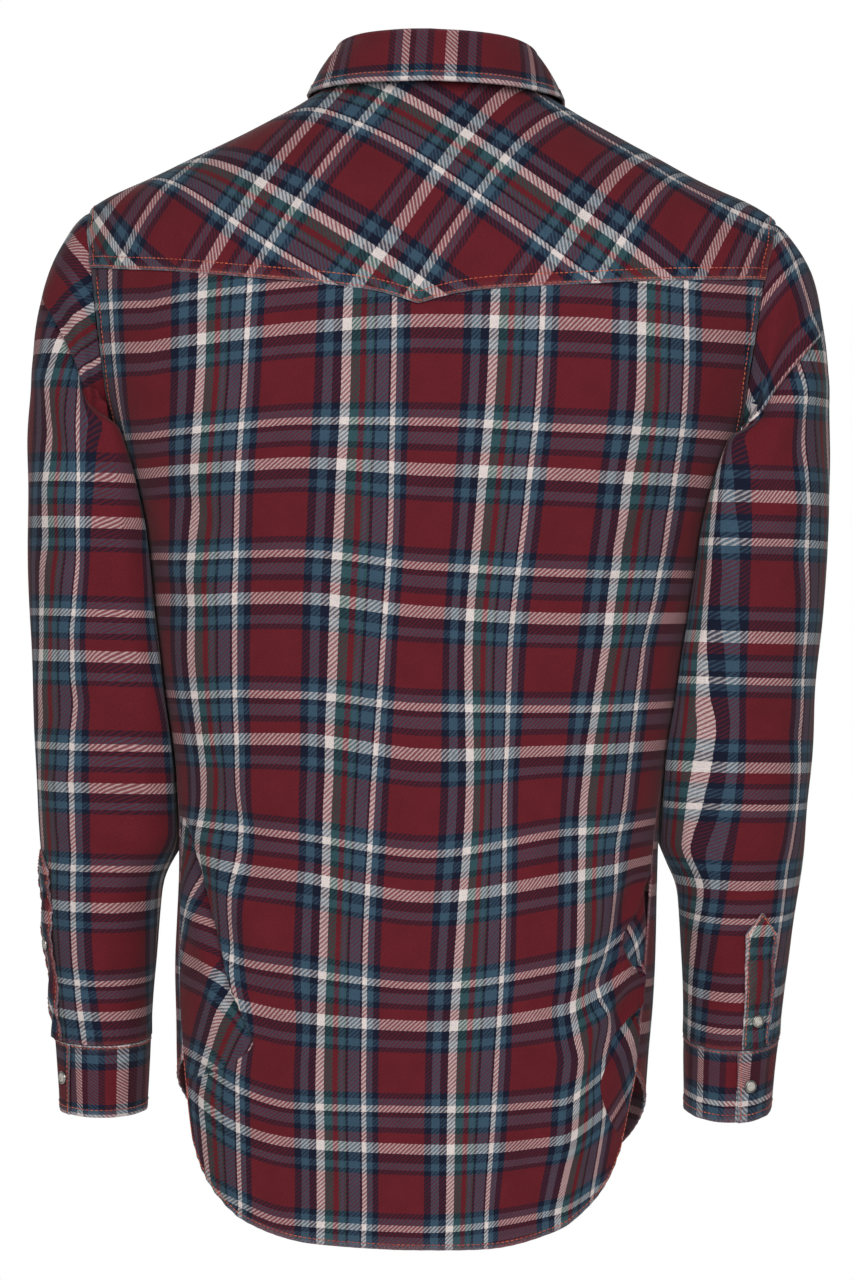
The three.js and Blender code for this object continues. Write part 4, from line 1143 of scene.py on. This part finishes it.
def make_fronts():
    top_x, top_z = front_tops()
    share = (top_x - PLACKET_HALF_WIDTH) / (FRONT_CORNER[0] - PLACKET_HALF_WIDTH)
    down = torso_rows(FRONT_CORNER_TURN, FRONT_CORNER[2], 34, 112)[:, None]
    z = mix(top_z[None], HEM["front"](share)[None], down)
    side = front_point(share[None] + 0 * z, z)
    for name, sign, centre_x, drop in (
        ("left", 1, np.linspace(PLACKET_HALF_WIDTH, -PLACKET_HALF_WIDTH, 15), 0),
        ("right", -1, np.linspace(18.9, -15.5, 15), CLOTH + LAP_GAP + 0.15),
    ):
        z = mix(neck_front_height(centre_x)[None], HEM["front"](0), down)
        centre = torso_point(turn_at_x(centre_x[None] + 0 * z, z, True), z)
        plain = np.concatenate([side, centre], 1)
        plain[..., 0] *= sign
        normals = torso_normal(plain)
        distance = edge_distances(plain)
        x, z = plain[..., 0], plain[..., 2]
        push = fold_push(FOLDS + SMALL_FOLDS, x, z, -1 * np.ones_like(x)) + rumple(x, z, 3.1 + sign)
        push *= (ease((np.abs(x) - 6) / 30) * 0.85 + 0.15) * beside_sleeve(plain)
        push += seam_relief(distance["bottom"], distance["left"], (3.5,), 0.45, 5.5, 0.5)
        push += seam_relief(distance["left"], distance["top"], (6.5,), 0.5, 8, 0.35) * ease((z - ARMPIT + 12) / 12)
        lap = np.zeros_like(x)
        lap[:, -len(centre_x):] = 1
        depth = drop * lap
        push = push * (1 - 0.8 * lap * (drop > 0)) - depth
        outer = plain + normals * push[..., None]
        worn = np.exp(-distance["bottom"] / 1.6) + 0.8 * np.exp(-distance["left"] / 1.3)
        thing = shell(
            f"shirt_front_{name}", outer, normals, front_cloth(plain), np.clip(worn, 0, 1), [f"front_{name}"]
        )
        hem = line_at(outer, normals, distance, "bottom", 3.5)
        line, up = line_at(outer, normals, distance, "left", 6.5)
        arm = (line[2:34], up[2:34])
        threads = [stitching(f"stitching_front_{name}", [hem, arm])]
        if sign > 0:
            make_front_placket(outer[:, -len(centre_x):], normals[:, -len(centre_x):])


def make_front_placket(band, normals):
    distance = edge_distances(band)
    sides = np.minimum(distance["left"], distance["right"])
    push = LAP_GAP + BAND_CLOTH + seam_relief(sides, distance["top"], (5.5,), 0.15, 7, 0.16)
    outer = band + normals * push[..., None]
    width = band.shape[1]
    cloth = np.stack([distance["left"] - 17, -1.02 * band[..., 2] - 228], -1)
    worn = np.exp(-sides / 1.2)
    thing = shell("shirt_placket", outer, normals, cloth, worn, ["front_placket"], BAND_CLOTH)
    lines = [line_at(outer, normals, distance, side, 5.5) for side in ("left", "right")]
    threads = [stitching("stitching_placket", lines)]
    middle, up = outer[:, width // 2], normals[:, width // 2]
    for i in range(6):
        at = -112 - i * 92
        add_snap(f"front_{i + 1}", *place_on(middle, up, at))


def place_on(line, normals, z):
    """The point and direction of a falling line at a height."""
    order = np.argsort(line[:, 2])
    read = lambda values: np.array([np.interp(z, line[order, 2], values[order, k]) for k in range(3)])
    return read(line), unit(read(normals))


# Snaps: a turned silver rim with a pearl face
RIM_PROFILE = (
    (0, 0),
    (3.7, 0),
    (4.25, 0.25),
    (4.4, 0.8),
    (4.3, 1.35),
    (4.05, 1.72),
    (3.8, 1.86),
    (3.6, 1.84),
    (3.45, 1.6),
    (3.4, 1.1),
    (0, 1),
)
PEARL_PROFILE = ((0, 1.2), (2.9, 1.2), (3.14, 1.4), (3.12, 1.75), (2.8, 2.02), (2, 2.2), (1, 2.28), (0, 2.3))
SNAP_SEAT_GAP = 0.3


def lathe(profile, seat, direction, steps=36):
    aside = unit(np.cross(direction, (0.31, 0.12, 0.94)))
    other = np.cross(direction, aside)
    points = []
    for radius, height in profile:
        for k in range(steps):
            angle = 2 * math.pi * k / steps
            points.append(seat + direction * height + radius * (aside * math.cos(angle) + other * math.sin(angle)))
    faces = []
    for j in range(len(profile) - 1):
        for k in range(steps):
            n = (k + 1) % steps
            faces.append([j * steps + k, (j + 1) * steps + k, (j + 1) * steps + n, j * steps + n])
    return np.array(points), faces


def add_snap(name, place, direction):
    seat = place + direction * SNAP_SEAT_GAP
    for part, profile, material in (("rim", RIM_PROFILE, SILVER), ("pearl", PEARL_PROFILE, PEARL)):
        points, faces = lathe(profile, seat, direction)
        thing = new_mesh(f"snap_{part}_{name}_turned", points, faces, material)
        thing.data.set_sharp_from_angle(angle=math.radians(50))
        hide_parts(f"snap_{part}_{name}")


# Sleeves
def ring_point(ring, turn):
    t = np.radians(turn)
    out_x, out_z = SLEEVE["out_x"](ring), SLEEVE["out_z"](ring)
    in_x, in_z = SLEEVE["in_x"](ring), SLEEVE["in_z"](ring)
    x = (out_x + in_x) / 2 + (out_x - in_x) / 2 * np.cos(t)
    y = SLEEVE["mid_y"](ring) + SLEEVE["half_depth"](ring) * signed_power(np.sin(t), 0.93)
    z = (out_z + in_z) / 2 + (out_z - in_z) / 2 * np.cos(t)
    return np.stack([x, y, z], -1)


def sleeve_point(ring, turn):
    start = armhole_point(turn) - ring_point(0 * turn, turn)
    return ring_point(ring, turn) + start * (1 - ease(ring / 6))[..., None]


# Where the plaid runs on the sleeves, charted. Below the drag fold the grain falls straight; above it,
# the cap's cloth leans. "wide" and "narrow" are where two white warp lines run, as lengths round the sleeve.
SLEEVE_PLAID = {
    "left": {
        "narrow_at": 31.3,
        "warp": table(
            ("z", "wide", "narrow"),
            (
                (-640, -44.5, -6.5),
                (-575, -51.5, -13.3),
                (-463, -52, -15.3),
                (-388, -48.5, -13.5),
                (-283, -42, -1),
                (-200, -46, -3),
            ),
        ),
        "weft": (
            (-62.6, -172),
            (0, -261),
            (30.6, -290.6),
            (93.2, -351),
            (123.8, -380),
            (186.4, -441),
            (217, -467.5),
            (279.6, -520),
            (310.2, -545),
            (372.8, -595),
            (403.4, -616.5),
        ),
        "cap_warp_normal": (0.6, 0.8),
        "cap_warp_home": -15.5,
        "cap_weft_normal": (-0.8, 0.6),
        "cap_weft_home": 220.9,
    },
    "right": {
        "narrow_at": -66.2,
        "warp": table(
            ("z", "wide", "narrow"),
            (
                (-640, -38, 26),
                (-600, -37, 28),
                (-566, -33.5, 33),
                (-542, -29, 36),
                (-517, -24, 38),
                (-493, -21, 43),
                (-465, -18.5, 48.2),
                (-446, -18, 50),
                (-420, -18.5, 50),
                (-395, -23, 50),
                (-371, -28, 50),
                (-346, -32, 50),
                (-322, -36, 50),
                (-297, -39, 50.5),
                (-254, -40, 51),
            ),
        ),
        "weft": (
            (93.2, -200),
            (30.6, -264.5),
            (0, -294.6),
            (-62.6, -357.4),
            (-93.2, -386.6),
            (-155.8, -444),
            (-186.4, -470.4),
            (-249, -523.6),
            (-279.6, -548),
            (-342.2, -601),
            (-372.8, -624),
        ),
        "cap_warp_normal": (-0.919, 0.394),
        "cap_warp_home": -118.3,
        "cap_weft_normal": (-1.23, -0.857),
        "cap_weft_home": -579,
    },
}
CREASE = {"left": ((262, -136.5), (213, -219)), "right": ((258, -161.5), (212, -222.5))}


def above_crease(name, x, z):
    (x0, z0), (x1, z1) = CREASE[name]
    return ((z - z0) * (x0 - x1) - (x - x0) * (z0 - z1)) / math.hypot(x0 - x1, z0 - z1)


def crease_ledge(name, x, z, y):
    """The cap's cloth hangs over the sleeve's along the drag fold."""
    seen = ease((y - 14) / 22) + ease((-42 - y) / 20)
    return ease((x - 205) / 14) * seen * ledge(above_crease(name, x, z), 11, 7, 2.6, 3.2)


def sleeve_cloth(name, p, arc):
    """The cloth's coordinates below the drag fold."""
    plaid = SLEEVE_PLAID[name]
    sign = 1 if name == "left" else -1
    z = p[..., 2]
    wide, narrow = plaid["warp"]["wide"](z), plaid["warp"]["narrow"](z)
    across = (arc - wide) * plaid["narrow_at"] / (narrow - wide)
    marks = [-line[1] for line in plaid["weft"]]
    values = [line[0] for line in plaid["weft"]]
    down = np.interp(-z, marks, values)
    down = np.where(-z > marks[-1], values[-1] + sign * (-z - marks[-1]) * 1.2, down)
    down = np.where(-z < marks[0], values[0] - sign * (marks[0] + z), down)
    return np.stack([across, down], -1)


def cap_cloth(name, ring, arc):
    """The cloth's coordinates above the drag fold, on the sleeve laid flat beside the body."""
    plaid = SLEEVE_PLAID[name]
    half_x = (SLEEVE["out_x"](ring) - SLEEVE["in_x"](ring)) / 2
    half_z = (SLEEVE["out_z"](ring) - SLEEVE["in_z"](ring)) / 2
    size = np.hypot(half_x, half_z)
    x = SLEEVE["out_x"](ring) - half_x - half_x / size * arc
    z = SLEEVE["out_z"](ring) - half_z - half_z / size * arc
    right = -x if name == "left" else x
    along, over = plaid["cap_warp_normal"], plaid["cap_weft_normal"]
    across = right * along[0] - z * along[1] - plaid["cap_warp_home"]
    down = right * over[0] - z * over[1] - plaid["cap_weft_home"]
    return np.stack([across, down], -1)


def add_turned(mesh, cap, above):
    loops = np.zeros(len(mesh.loops), int)
    mesh.loops.foreach_get("vertex_index", loops)
    both = np.concatenate([cap.reshape(-1, 2), cap.reshape(-1, 2)])
    mesh.uv_layers.new(name="turned").data.foreach_set("uv", both[loops].ravel())
    values = np.concatenate([above.ravel(), above.ravel()])
    mesh.attributes.new("beyond_fold", "FLOAT", "POINT").data.foreach_set("value", values)


def hang(p, end):
    """Puts points of the left sleeve on their own side, with the back of the wrist a little lower."""
    share = ease((TILT_START_Z - p[..., 2]) / TILT_LENGTH)
    back = (p[..., 1] - CUFF_MIDDLE_Y) / CUFF_HALF_DEPTH[0]
    raised = p[..., 2] + share * (end["lift"] - end["tilt"] * back)
    return np.stack([end["side"] * p[..., 0], p[..., 1], raised], -1)


def press_on_body(p, normals):
    """The sleeve's inner side is pulled to the body and lies against it, down to the waist."""
    x, y, z = p[..., 0], p[..., 1], p[..., 2]
    half_width, middle, half_depth, power = section(z)
    reach = np.clip(1 - np.abs((y - middle) / half_depth) ** power, 0, 1)
    body = half_width * reach ** (1 / power)
    inner = ease(-normals[..., 0] * 2) * ease((-206 - z) / 22) * ease((z + 545) / 50)
    near = x - PRESS_REACH * inner
    clear = body + PRESS_CLEARANCE
    pressed = clear + PRESS_SOFTNESS * np.logaddexp(0, (near - clear) / PRESS_SOFTNESS)
    return np.stack([mix(x, np.maximum(pressed, clear), inner), y, z], -1)


def make_sleeve(name):
    end = SLEEVE_ENDS[name]
    ring = LAST_RING * side_steps(190)[:, None]
    turn = np.linspace(-180, 180, 133)[None, :-1]
    ring, turn = np.broadcast_arrays(ring, turn)
    plain = sleeve_point(ring, turn)
    centre = plain.mean(1, keepdims=True)
    wrapped = np.concatenate([plain[:, -3:], plain, plain[:, :3]], 1)
    normals = grid_normals(wrapped, wrapped - centre)[:, 3:-3]
    closed = np.concatenate([plain, plain[:, :1]], 1)
    distance = edge_distances(closed)
    distance = {side: values[:, :-1] for side, values in distance.items()}
    x, y, z = plain[..., 0], plain[..., 1], plain[..., 2]
    face = np.where(y > SLEEVE["mid_y"](ring), 1, -1)
    fade = ease(ring / 2) * ease((LAST_RING - ring) / 2)
    front_or_back = ease(np.abs(y - SLEEVE["mid_y"](ring)) / 22)
    away_from_body = np.maximum(front_or_back, ease(np.cos(np.radians(turn)) * 3))
    push = fade * (
        fold_push(SLEEVE_FOLDS, x, z, face)
        + front_or_back * fold_push(SLEEVE_SMALL_FOLDS, x, z, face)
        + away_from_body * rumple(x + y, z, 4.2 + end["side"])
        + crease_ledge(name, x, z, y)
    )
    push += seam_relief(distance["top"], turn * 1.2, (), 0, 0, 0.5)
    push += seam_relief(distance["bottom"], turn * 0.8, (), 0, 0, 0.9)
    push -= 0.5 * ease((4 - distance["top"]) / 4)
    outer = press_on_body(plain + normals * push[..., None], normals)
    middle = int(np.argmin(np.abs(turn[0] - 90)))
    arc = distance["left"] - distance["left"][:, middle : middle + 1]
    cloth = sleeve_cloth(name, plain, end["side"] * arc)
    cap = cap_cloth(name, ring, arc)
    worn = 0.3 * np.exp(-distance["bottom"] / 1.5)
    mirror = np.array([end["side"], 1, 1])
    thing = shell(
        f"shirt_sleeve_{name}", hang(outer, end), normals * mirror, cloth, worn, [f"sleeve_{name}"], CLOTH, True
    )
    add_turned(thing.data, cap, above_crease(name, x, z))
    make_sleeve_placket(name, end)


def make_sleeve_placket(name, end):
    mirror = np.array([end["side"], 1, 1])
    top, foot = end["strip_turns"]
    down = side_steps(90)[:, None]
    share = side_steps(22)[None]
    point = 0.5 * np.abs(2 * share - 1) * (1 - down) ** 8
    ring = mix(end["strip_ring"], LAST_RING - 0.02, down) + point
    turn = mix(mix(top[0], foot[0], down), mix(top[1], foot[1], down), share)
    ring, turn = np.broadcast_arrays(ring, turn)
    plain = sleeve_point(ring, turn)
    wide = sleeve_point(*np.broadcast_arrays(ring, turn))
    normals = grid_normals(wide, wide - np.array([214.0, -22, 0]) * [1, 1, 0] - np.array([0, 0, 1]) * wide)
    distance = edge_distances(plain)
    sides = np.minimum(distance["left"], distance["right"])
    push = LAP_GAP + BAND_CLOTH + 0.4 + seam_relief(sides, distance["top"], (2.2,), 0.2, 3.5, 0.6)
    push += 1.1 * np.sin(distance["top"] / 6.2 + 1.2 * np.sin(distance["top"] / 17)) * ease(distance["top"] / 30)
    outer = plain + normals * push[..., None]
    cloth = np.stack([distance["left"] * end["side"] + 24, -plain[..., 2] - 430], -1)
    worn = np.exp(-sides / 1.4) + np.exp(-distance["top"] / 1.4)
    thing = shell(
        f"shirt_sleeve_placket_{name}",
        hang(outer, end),
        normals * mirror,
        cloth,
        np.clip(worn, 0, 1),
        [f"sleeve_placket_{name}"],
        BAND_CLOTH,
    )
    seen, facing = hang(outer, end), normals * mirror
    lines = [line_at(seen, facing, distance, side, 2.2) for side in ("left", "right", "top")]
    threads = [stitching(f"stitching_sleeve_placket_{name}", lines)]
    middle = outer.shape[1] // 2
    add_snap(f"placket_{name}", *place_on(seen[:, middle], facing[:, middle], end["snap_z"]))


# Cuffs, with the cloth turned by a right angle; "up" is the warp's place by the length below the upper seam
CUFF_PLAID = {
    "left": {
        "up": table(
            ("drop", "place"),
            ((0, 95.8), (1.3, 94.4), (16.5, 77.4), (40, 42.1), (43.5, 37.7), (46.8, 32.9), (49, 30)),
        )["place"],
    },
    "right": {
        "up": table(
            ("drop", "place"),
            ((0, 85.8), (8, 77.4), (25, 42.1), (29.5, 37.7), (34.5, 32.9), (37.6, 29.8), (49, 18.5)),
        )["place"],
    },
}


def make_cuff(name):
    end = SLEEVE_ENDS[name]
    mirror = np.array([end["side"], 1, 1])
    along = side_steps(150)[None]
    drop = side_steps(26)[:, None]
    around = (360 + CUFF_OVERLAP) * along
    turn = end["cuff_turn"] + around + MITRE * drop * ease((8 - around) / 8)
    tuck = (CLOTH + LAP_GAP + 0.1) * ease((around - 250) / 90)
    t = np.radians(turn)
    wide = mix(*CUFF_HALF_WIDTH, drop)
    deep = mix(*CUFF_HALF_DEPTH, drop)
    ripple = 0.25 * np.sin(around / 5 + 3 * drop) * ease(drop * 3)
    ripple = ripple + 0.3 * np.sin(around / 2.1) * np.exp(-drop * 9)
    reach = -tuck + ripple
    x = mix(*CUFF_X, drop) + (wide + reach) * np.sin(t)
    y = CUFF_MIDDLE_Y + (deep + reach) * np.cos(t)
    z = CUFF_TOP_Z - CUFF_HEIGHT * drop + 0 * x
    outer = np.stack([x, y, z], -1)
    outward = np.stack([np.sin(t), np.cos(t), 0 * t], -1)
    normals = unit(outward)
    distance = edge_distances(outer)
    edges = np.minimum(distance["top"], distance["bottom"])
    push = seam_relief(distance["top"], distance["left"], (1.8,), 0.3, 3.4, 0.1)
    push += seam_relief(distance["bottom"], distance["left"], (5,), 0.2, 6, 0.1)
    push += seam_relief(distance["left"], distance["top"], (2.2,), 0.3, 3.6, 0.1)
    outer = outer + normals * push[..., None]
    high = CUFF_PLAID[name]["up"](distance["top"])
    round_wrist = np.where(end["side"] > 0, 23 - turn, turn + 40.7) * 2 * WEFT_REPEAT / 360
    cloth = np.stack([high, round_wrist], -1)
    worn = 0.9 * np.exp(-edges / 1.6) + 0.8 * np.exp(-distance["left"] / 1.5)
    thing = shell(
        f"shirt_cuff_{name}", hang(outer, end), normals * mirror, cloth, np.clip(worn, 0, 1), [f"cuff_{name}"]
    )
    rows_of_stitches = (("top", 1.8), ("bottom", 5), ("left", 2.2))
    seen, facing = hang(outer, end), normals * mirror
    lines = [line_at(seen, facing, distance, side, at) for side, at in rows_of_stitches]
    threads = [stitching(f"stitching_cuff_{name}", lines)]
    t = math.radians(end["snap_turn"])
    seat_x = mix(*CUFF_X, 0.5) + mix(*CUFF_HALF_WIDTH, 0.5) * math.sin(t)
    seat_y = CUFF_MIDDLE_Y + mix(*CUFF_HALF_DEPTH, 0.5) * math.cos(t)
    seat = np.array([seat_x, seat_y, CUFF_TOP_Z - CUFF_HEIGHT / 2])
    direction = np.array([math.sin(t), math.cos(t), 0])
    add_snap(f"cuff_{name}", hang(seat, end), direction * mirror)


# Collar
def stand_top(turn, lift):
    t = np.radians(turn)
    x = (STAND_TOP_HALF_WIDTH + lift) * np.sin(t)
    y = (STAND_TOP_BACK + STAND_TOP_FRONT) / 2 + ((STAND_TOP_BACK - STAND_TOP_FRONT) / 2 + lift) * np.cos(t)
    return np.stack([x, y, STAND_TOP["z"](np.abs(np.where(turn > 180, 360 - turn, turn)))], -1)


def make_stand():
    placket_turn = 180 - math.degrees(math.asin(PLACKET_HALF_WIDTH / NECK_HALF_WIDTH))
    turn = mix(-(placket_turn + 0.4), 360 - placket_turn, side_steps(190))[None]
    down = side_steps(16)[:, None]
    folded = np.where(turn > 180, 360 - turn, np.abs(turn))
    foot = neck_point(folded)
    foot[..., 0] *= np.where((turn < 0) | (turn > 180), -1, 1)
    foot[..., 2] += 0.5
    plain = mix(stand_top(turn, 0), foot, down[..., None])
    t = np.radians(turn)
    normals = np.stack([np.sin(t), np.cos(t), 0 * t], -1) + 0 * plain
    distance = edge_distances(plain)
    outer = plain + normals * (rumple(distance["left"], distance["top"], 5) * 0.2)[..., None]
    cloth = np.stack([distance["bottom"], distance["left"]], -1)
    worn = 0.5 * np.exp(-distance["top"] / 2)
    thing = shell("shirt_collar_stand", outer, normals, cloth, worn, ["collar_stand"])
    column = int(np.argmin(np.abs(turn[0] - 180)))
    seat = outer[:, column].mean(0) * [0, 1, 1]
    side = outer[0, column] - outer[-1, column]
    direction = unit(np.cross((1, 0, 0), side))
    add_snap("stand", seat, direction if direction[1] < 0 else -direction)


def make_leaf():
    turn = mix(-LEAF_END_TURN, LEAF_END_TURN, side_steps(230))
    t = np.radians(turn)
    outward = np.stack([np.sin(t), np.cos(t), 0 * t], -1)
    start = stand_top(np.abs(turn), 0)
    start[:, 0] *= np.sign(turn)
    start[:, 2] += LAP_GAP
    centre = start + outward * (ROLL_RADIUS - CLOTH)
    angles = math.pi * (1 - np.linspace(0, 1, 13))
    up = np.array([0, 0, 1])
    roll = centre[None] + ROLL_RADIUS * (
        outward[None] * np.cos(angles)[:, None, None] + up * np.sin(angles)[:, None, None]
    )
    goal = np.stack([LEAF_EDGE[k](np.abs(turn)) for k in ("x", "y", "z")], -1)
    goal[:, 0] *= np.sign(turn)
    tangent = np.stack([outward[:, 1], -outward[:, 0], 0 * t], -1)
    side = unit(np.cross(goal - roll[-1], tangent))
    side *= np.sign((side * outward).sum(-1))[:, None]
    fall_at = side_steps(34)[2:, None, None]
    bulge = LEAF_BULGE * 4 * fall_at * (1 - fall_at) * (1 - 0.5 * fall_at)
    fall = mix(roll[-1][None], goal[None], fall_at) + side[None] * bulge
    plain = np.concatenate([roll, fall])
    normals = grid_normals(plain, np.concatenate([roll - centre[None], 0 * fall + side[None]]))
    distance = edge_distances(plain)
    push = rumple(distance["left"], distance["top"], 6.3) * 0.5
    push += seam_relief(distance["bottom"], distance["left"], (6.5,), 0.35, 8, 0.12)
    ends = np.minimum(distance["left"], distance["right"])
    push += seam_relief(ends, distance["top"], (6.5,), 0.3, 8, 0.1)
    outer = plain + normals * push[..., None]
    arc = distance["left"] - distance["left"][:, len(turn) // 2][:, None]
    cloth = np.stack([distance["bottom"] + 31.3 - 1, -arc - 15.5 + WIDE_WEFT], -1)
    worn = 0.8 * np.exp(-distance["bottom"] / 1.4) + 0.35 * np.exp(-((distance["top"] - 4) / 2.5) ** 2)
    thing = shell("shirt_collar", outer, normals, cloth, np.clip(worn, 0, 1), ["collar"])
    lines = [line_at(outer, normals, distance, "bottom", 6.5)]
    lines += [line_at(outer, normals, distance, side, 6.5) for side in ("left", "right")]
    threads = [stitching("stitching_collar", lines)]


make_back()
make_yoke()
make_fronts()
make_stand()
make_leaf()
for name in SLEEVE_ENDS:
    make_sleeve(name)
    make_cuff(name)

# Studio: a pale floor, a white surround, soft light and the camera behind the shirt
FLOOR_Z = -1.45
FLOOR_REACH = 3
WORLD_LIGHT = 0.2
SURROUND_RADIUS = 14
floor = bpy.data.meshes.new("floor")
corners = [(a * FLOOR_REACH, b * FLOOR_REACH, FLOOR_Z) for a, b in ((-1, -1), (1, -1), (1, 1), (-1, 1))]
floor.from_pydata(corners, [], [(0, 1, 2, 3)])
floor_piece = bpy.data.objects.new("floor", floor)
bpy.context.scene.collection.objects.link(floor_piece)
paper = Nodes("studio_paper")
grain = paper.noise(paper.add("ShaderNodeTexCoord").outputs["Object"], 30, 3)
floor.materials.append(
    paper.surface(paper.blend(grain, colour("#efefee"), colour("#f4f4f3")), None, 0, Roughness=0.9)
)

surround = bpy.data.meshes.new("surround")
shape = bmesh.new()
bmesh.ops.create_icosphere(shape, subdivisions=4, radius=SURROUND_RADIUS)
shape.to_mesh(surround)
shape.free()
surround_piece = bpy.data.objects.new("surround", surround)
bpy.context.scene.collection.objects.link(surround_piece)
glow = Nodes("studio_surround")
light = glow.add("ShaderNodeEmission")
glow.join(light.outputs[0], glow.add("ShaderNodeOutputMaterial").inputs[0])
surround.materials.append(glow.material)
for ray in ("diffuse", "glossy", "transmission", "shadow"):
    setattr(surround_piece, f"visible_{ray}", False)

world = bpy.data.worlds.new("studio")
world.use_nodes = True
world.node_tree.nodes["Background"].inputs[0].default_value = (1, 1, 1, 1)
world.node_tree.nodes["Background"].inputs[1].default_value = WORLD_LIGHT
bpy.context.scene.world = world
bpy.context.scene.view_settings.view_transform = "Standard"


def aim(thing, place, target):
    thing.location = place
    thing.rotation_euler = (Vector(target) - Vector(place)).to_track_quat("-Z", "Y").to_euler()


def softbox(name, place, size, power):
    light = bpy.data.lights.new(name, "AREA")
    light.shape = "RECTANGLE"
    light.size, light.size_y = size
    light.energy = power
    thing = bpy.data.objects.new(name, light)
    bpy.context.scene.collection.objects.link(thing)
    aim(thing, place, (0, 0, -0.35))


softbox("key", (-0.8, 3.2, 0.9), (1.8, 2.2), 59)
softbox("fill", (1.2, 3.1, 0.3), (1.6, 2.2), 28)
softbox("front", (0.7, -3.0, 0.8), (2, 2), 42)

CAMERA_YAW = math.radians(4)
CAMERA_ROLL = math.radians(1.345)
CAMERA_DISTANCE = 3.0
CAMERA_AIM = (-0.0028, 0, -0.364)
CAMERA_LENS = 125

camera_data = bpy.data.cameras.new("camera")
camera_data.lens = CAMERA_LENS
camera_data.sensor_width = 36
camera = bpy.data.objects.new("camera", camera_data)
bpy.context.scene.collection.objects.link(camera)
back_way = np.array([-math.sin(CAMERA_YAW), math.cos(CAMERA_YAW), 0])
right_way = np.array([-math.cos(CAMERA_YAW), -math.sin(CAMERA_YAW), 0])
up_way = np.array([0, 0, 1])
right = right_way * math.cos(CAMERA_ROLL) + up_way * math.sin(CAMERA_ROLL)
up = up_way * math.cos(CAMERA_ROLL) - right_way * math.sin(CAMERA_ROLL)
eye = np.array(CAMERA_AIM) + back_way * CAMERA_DISTANCE
matrix = np.eye(4)
matrix[:3, 0], matrix[:3, 1], matrix[:3, 2], matrix[:3, 3] = right, up, back_way, eye
camera.matrix_world = Matrix(matrix.tolist())
bpy.context.scene.camera = camera
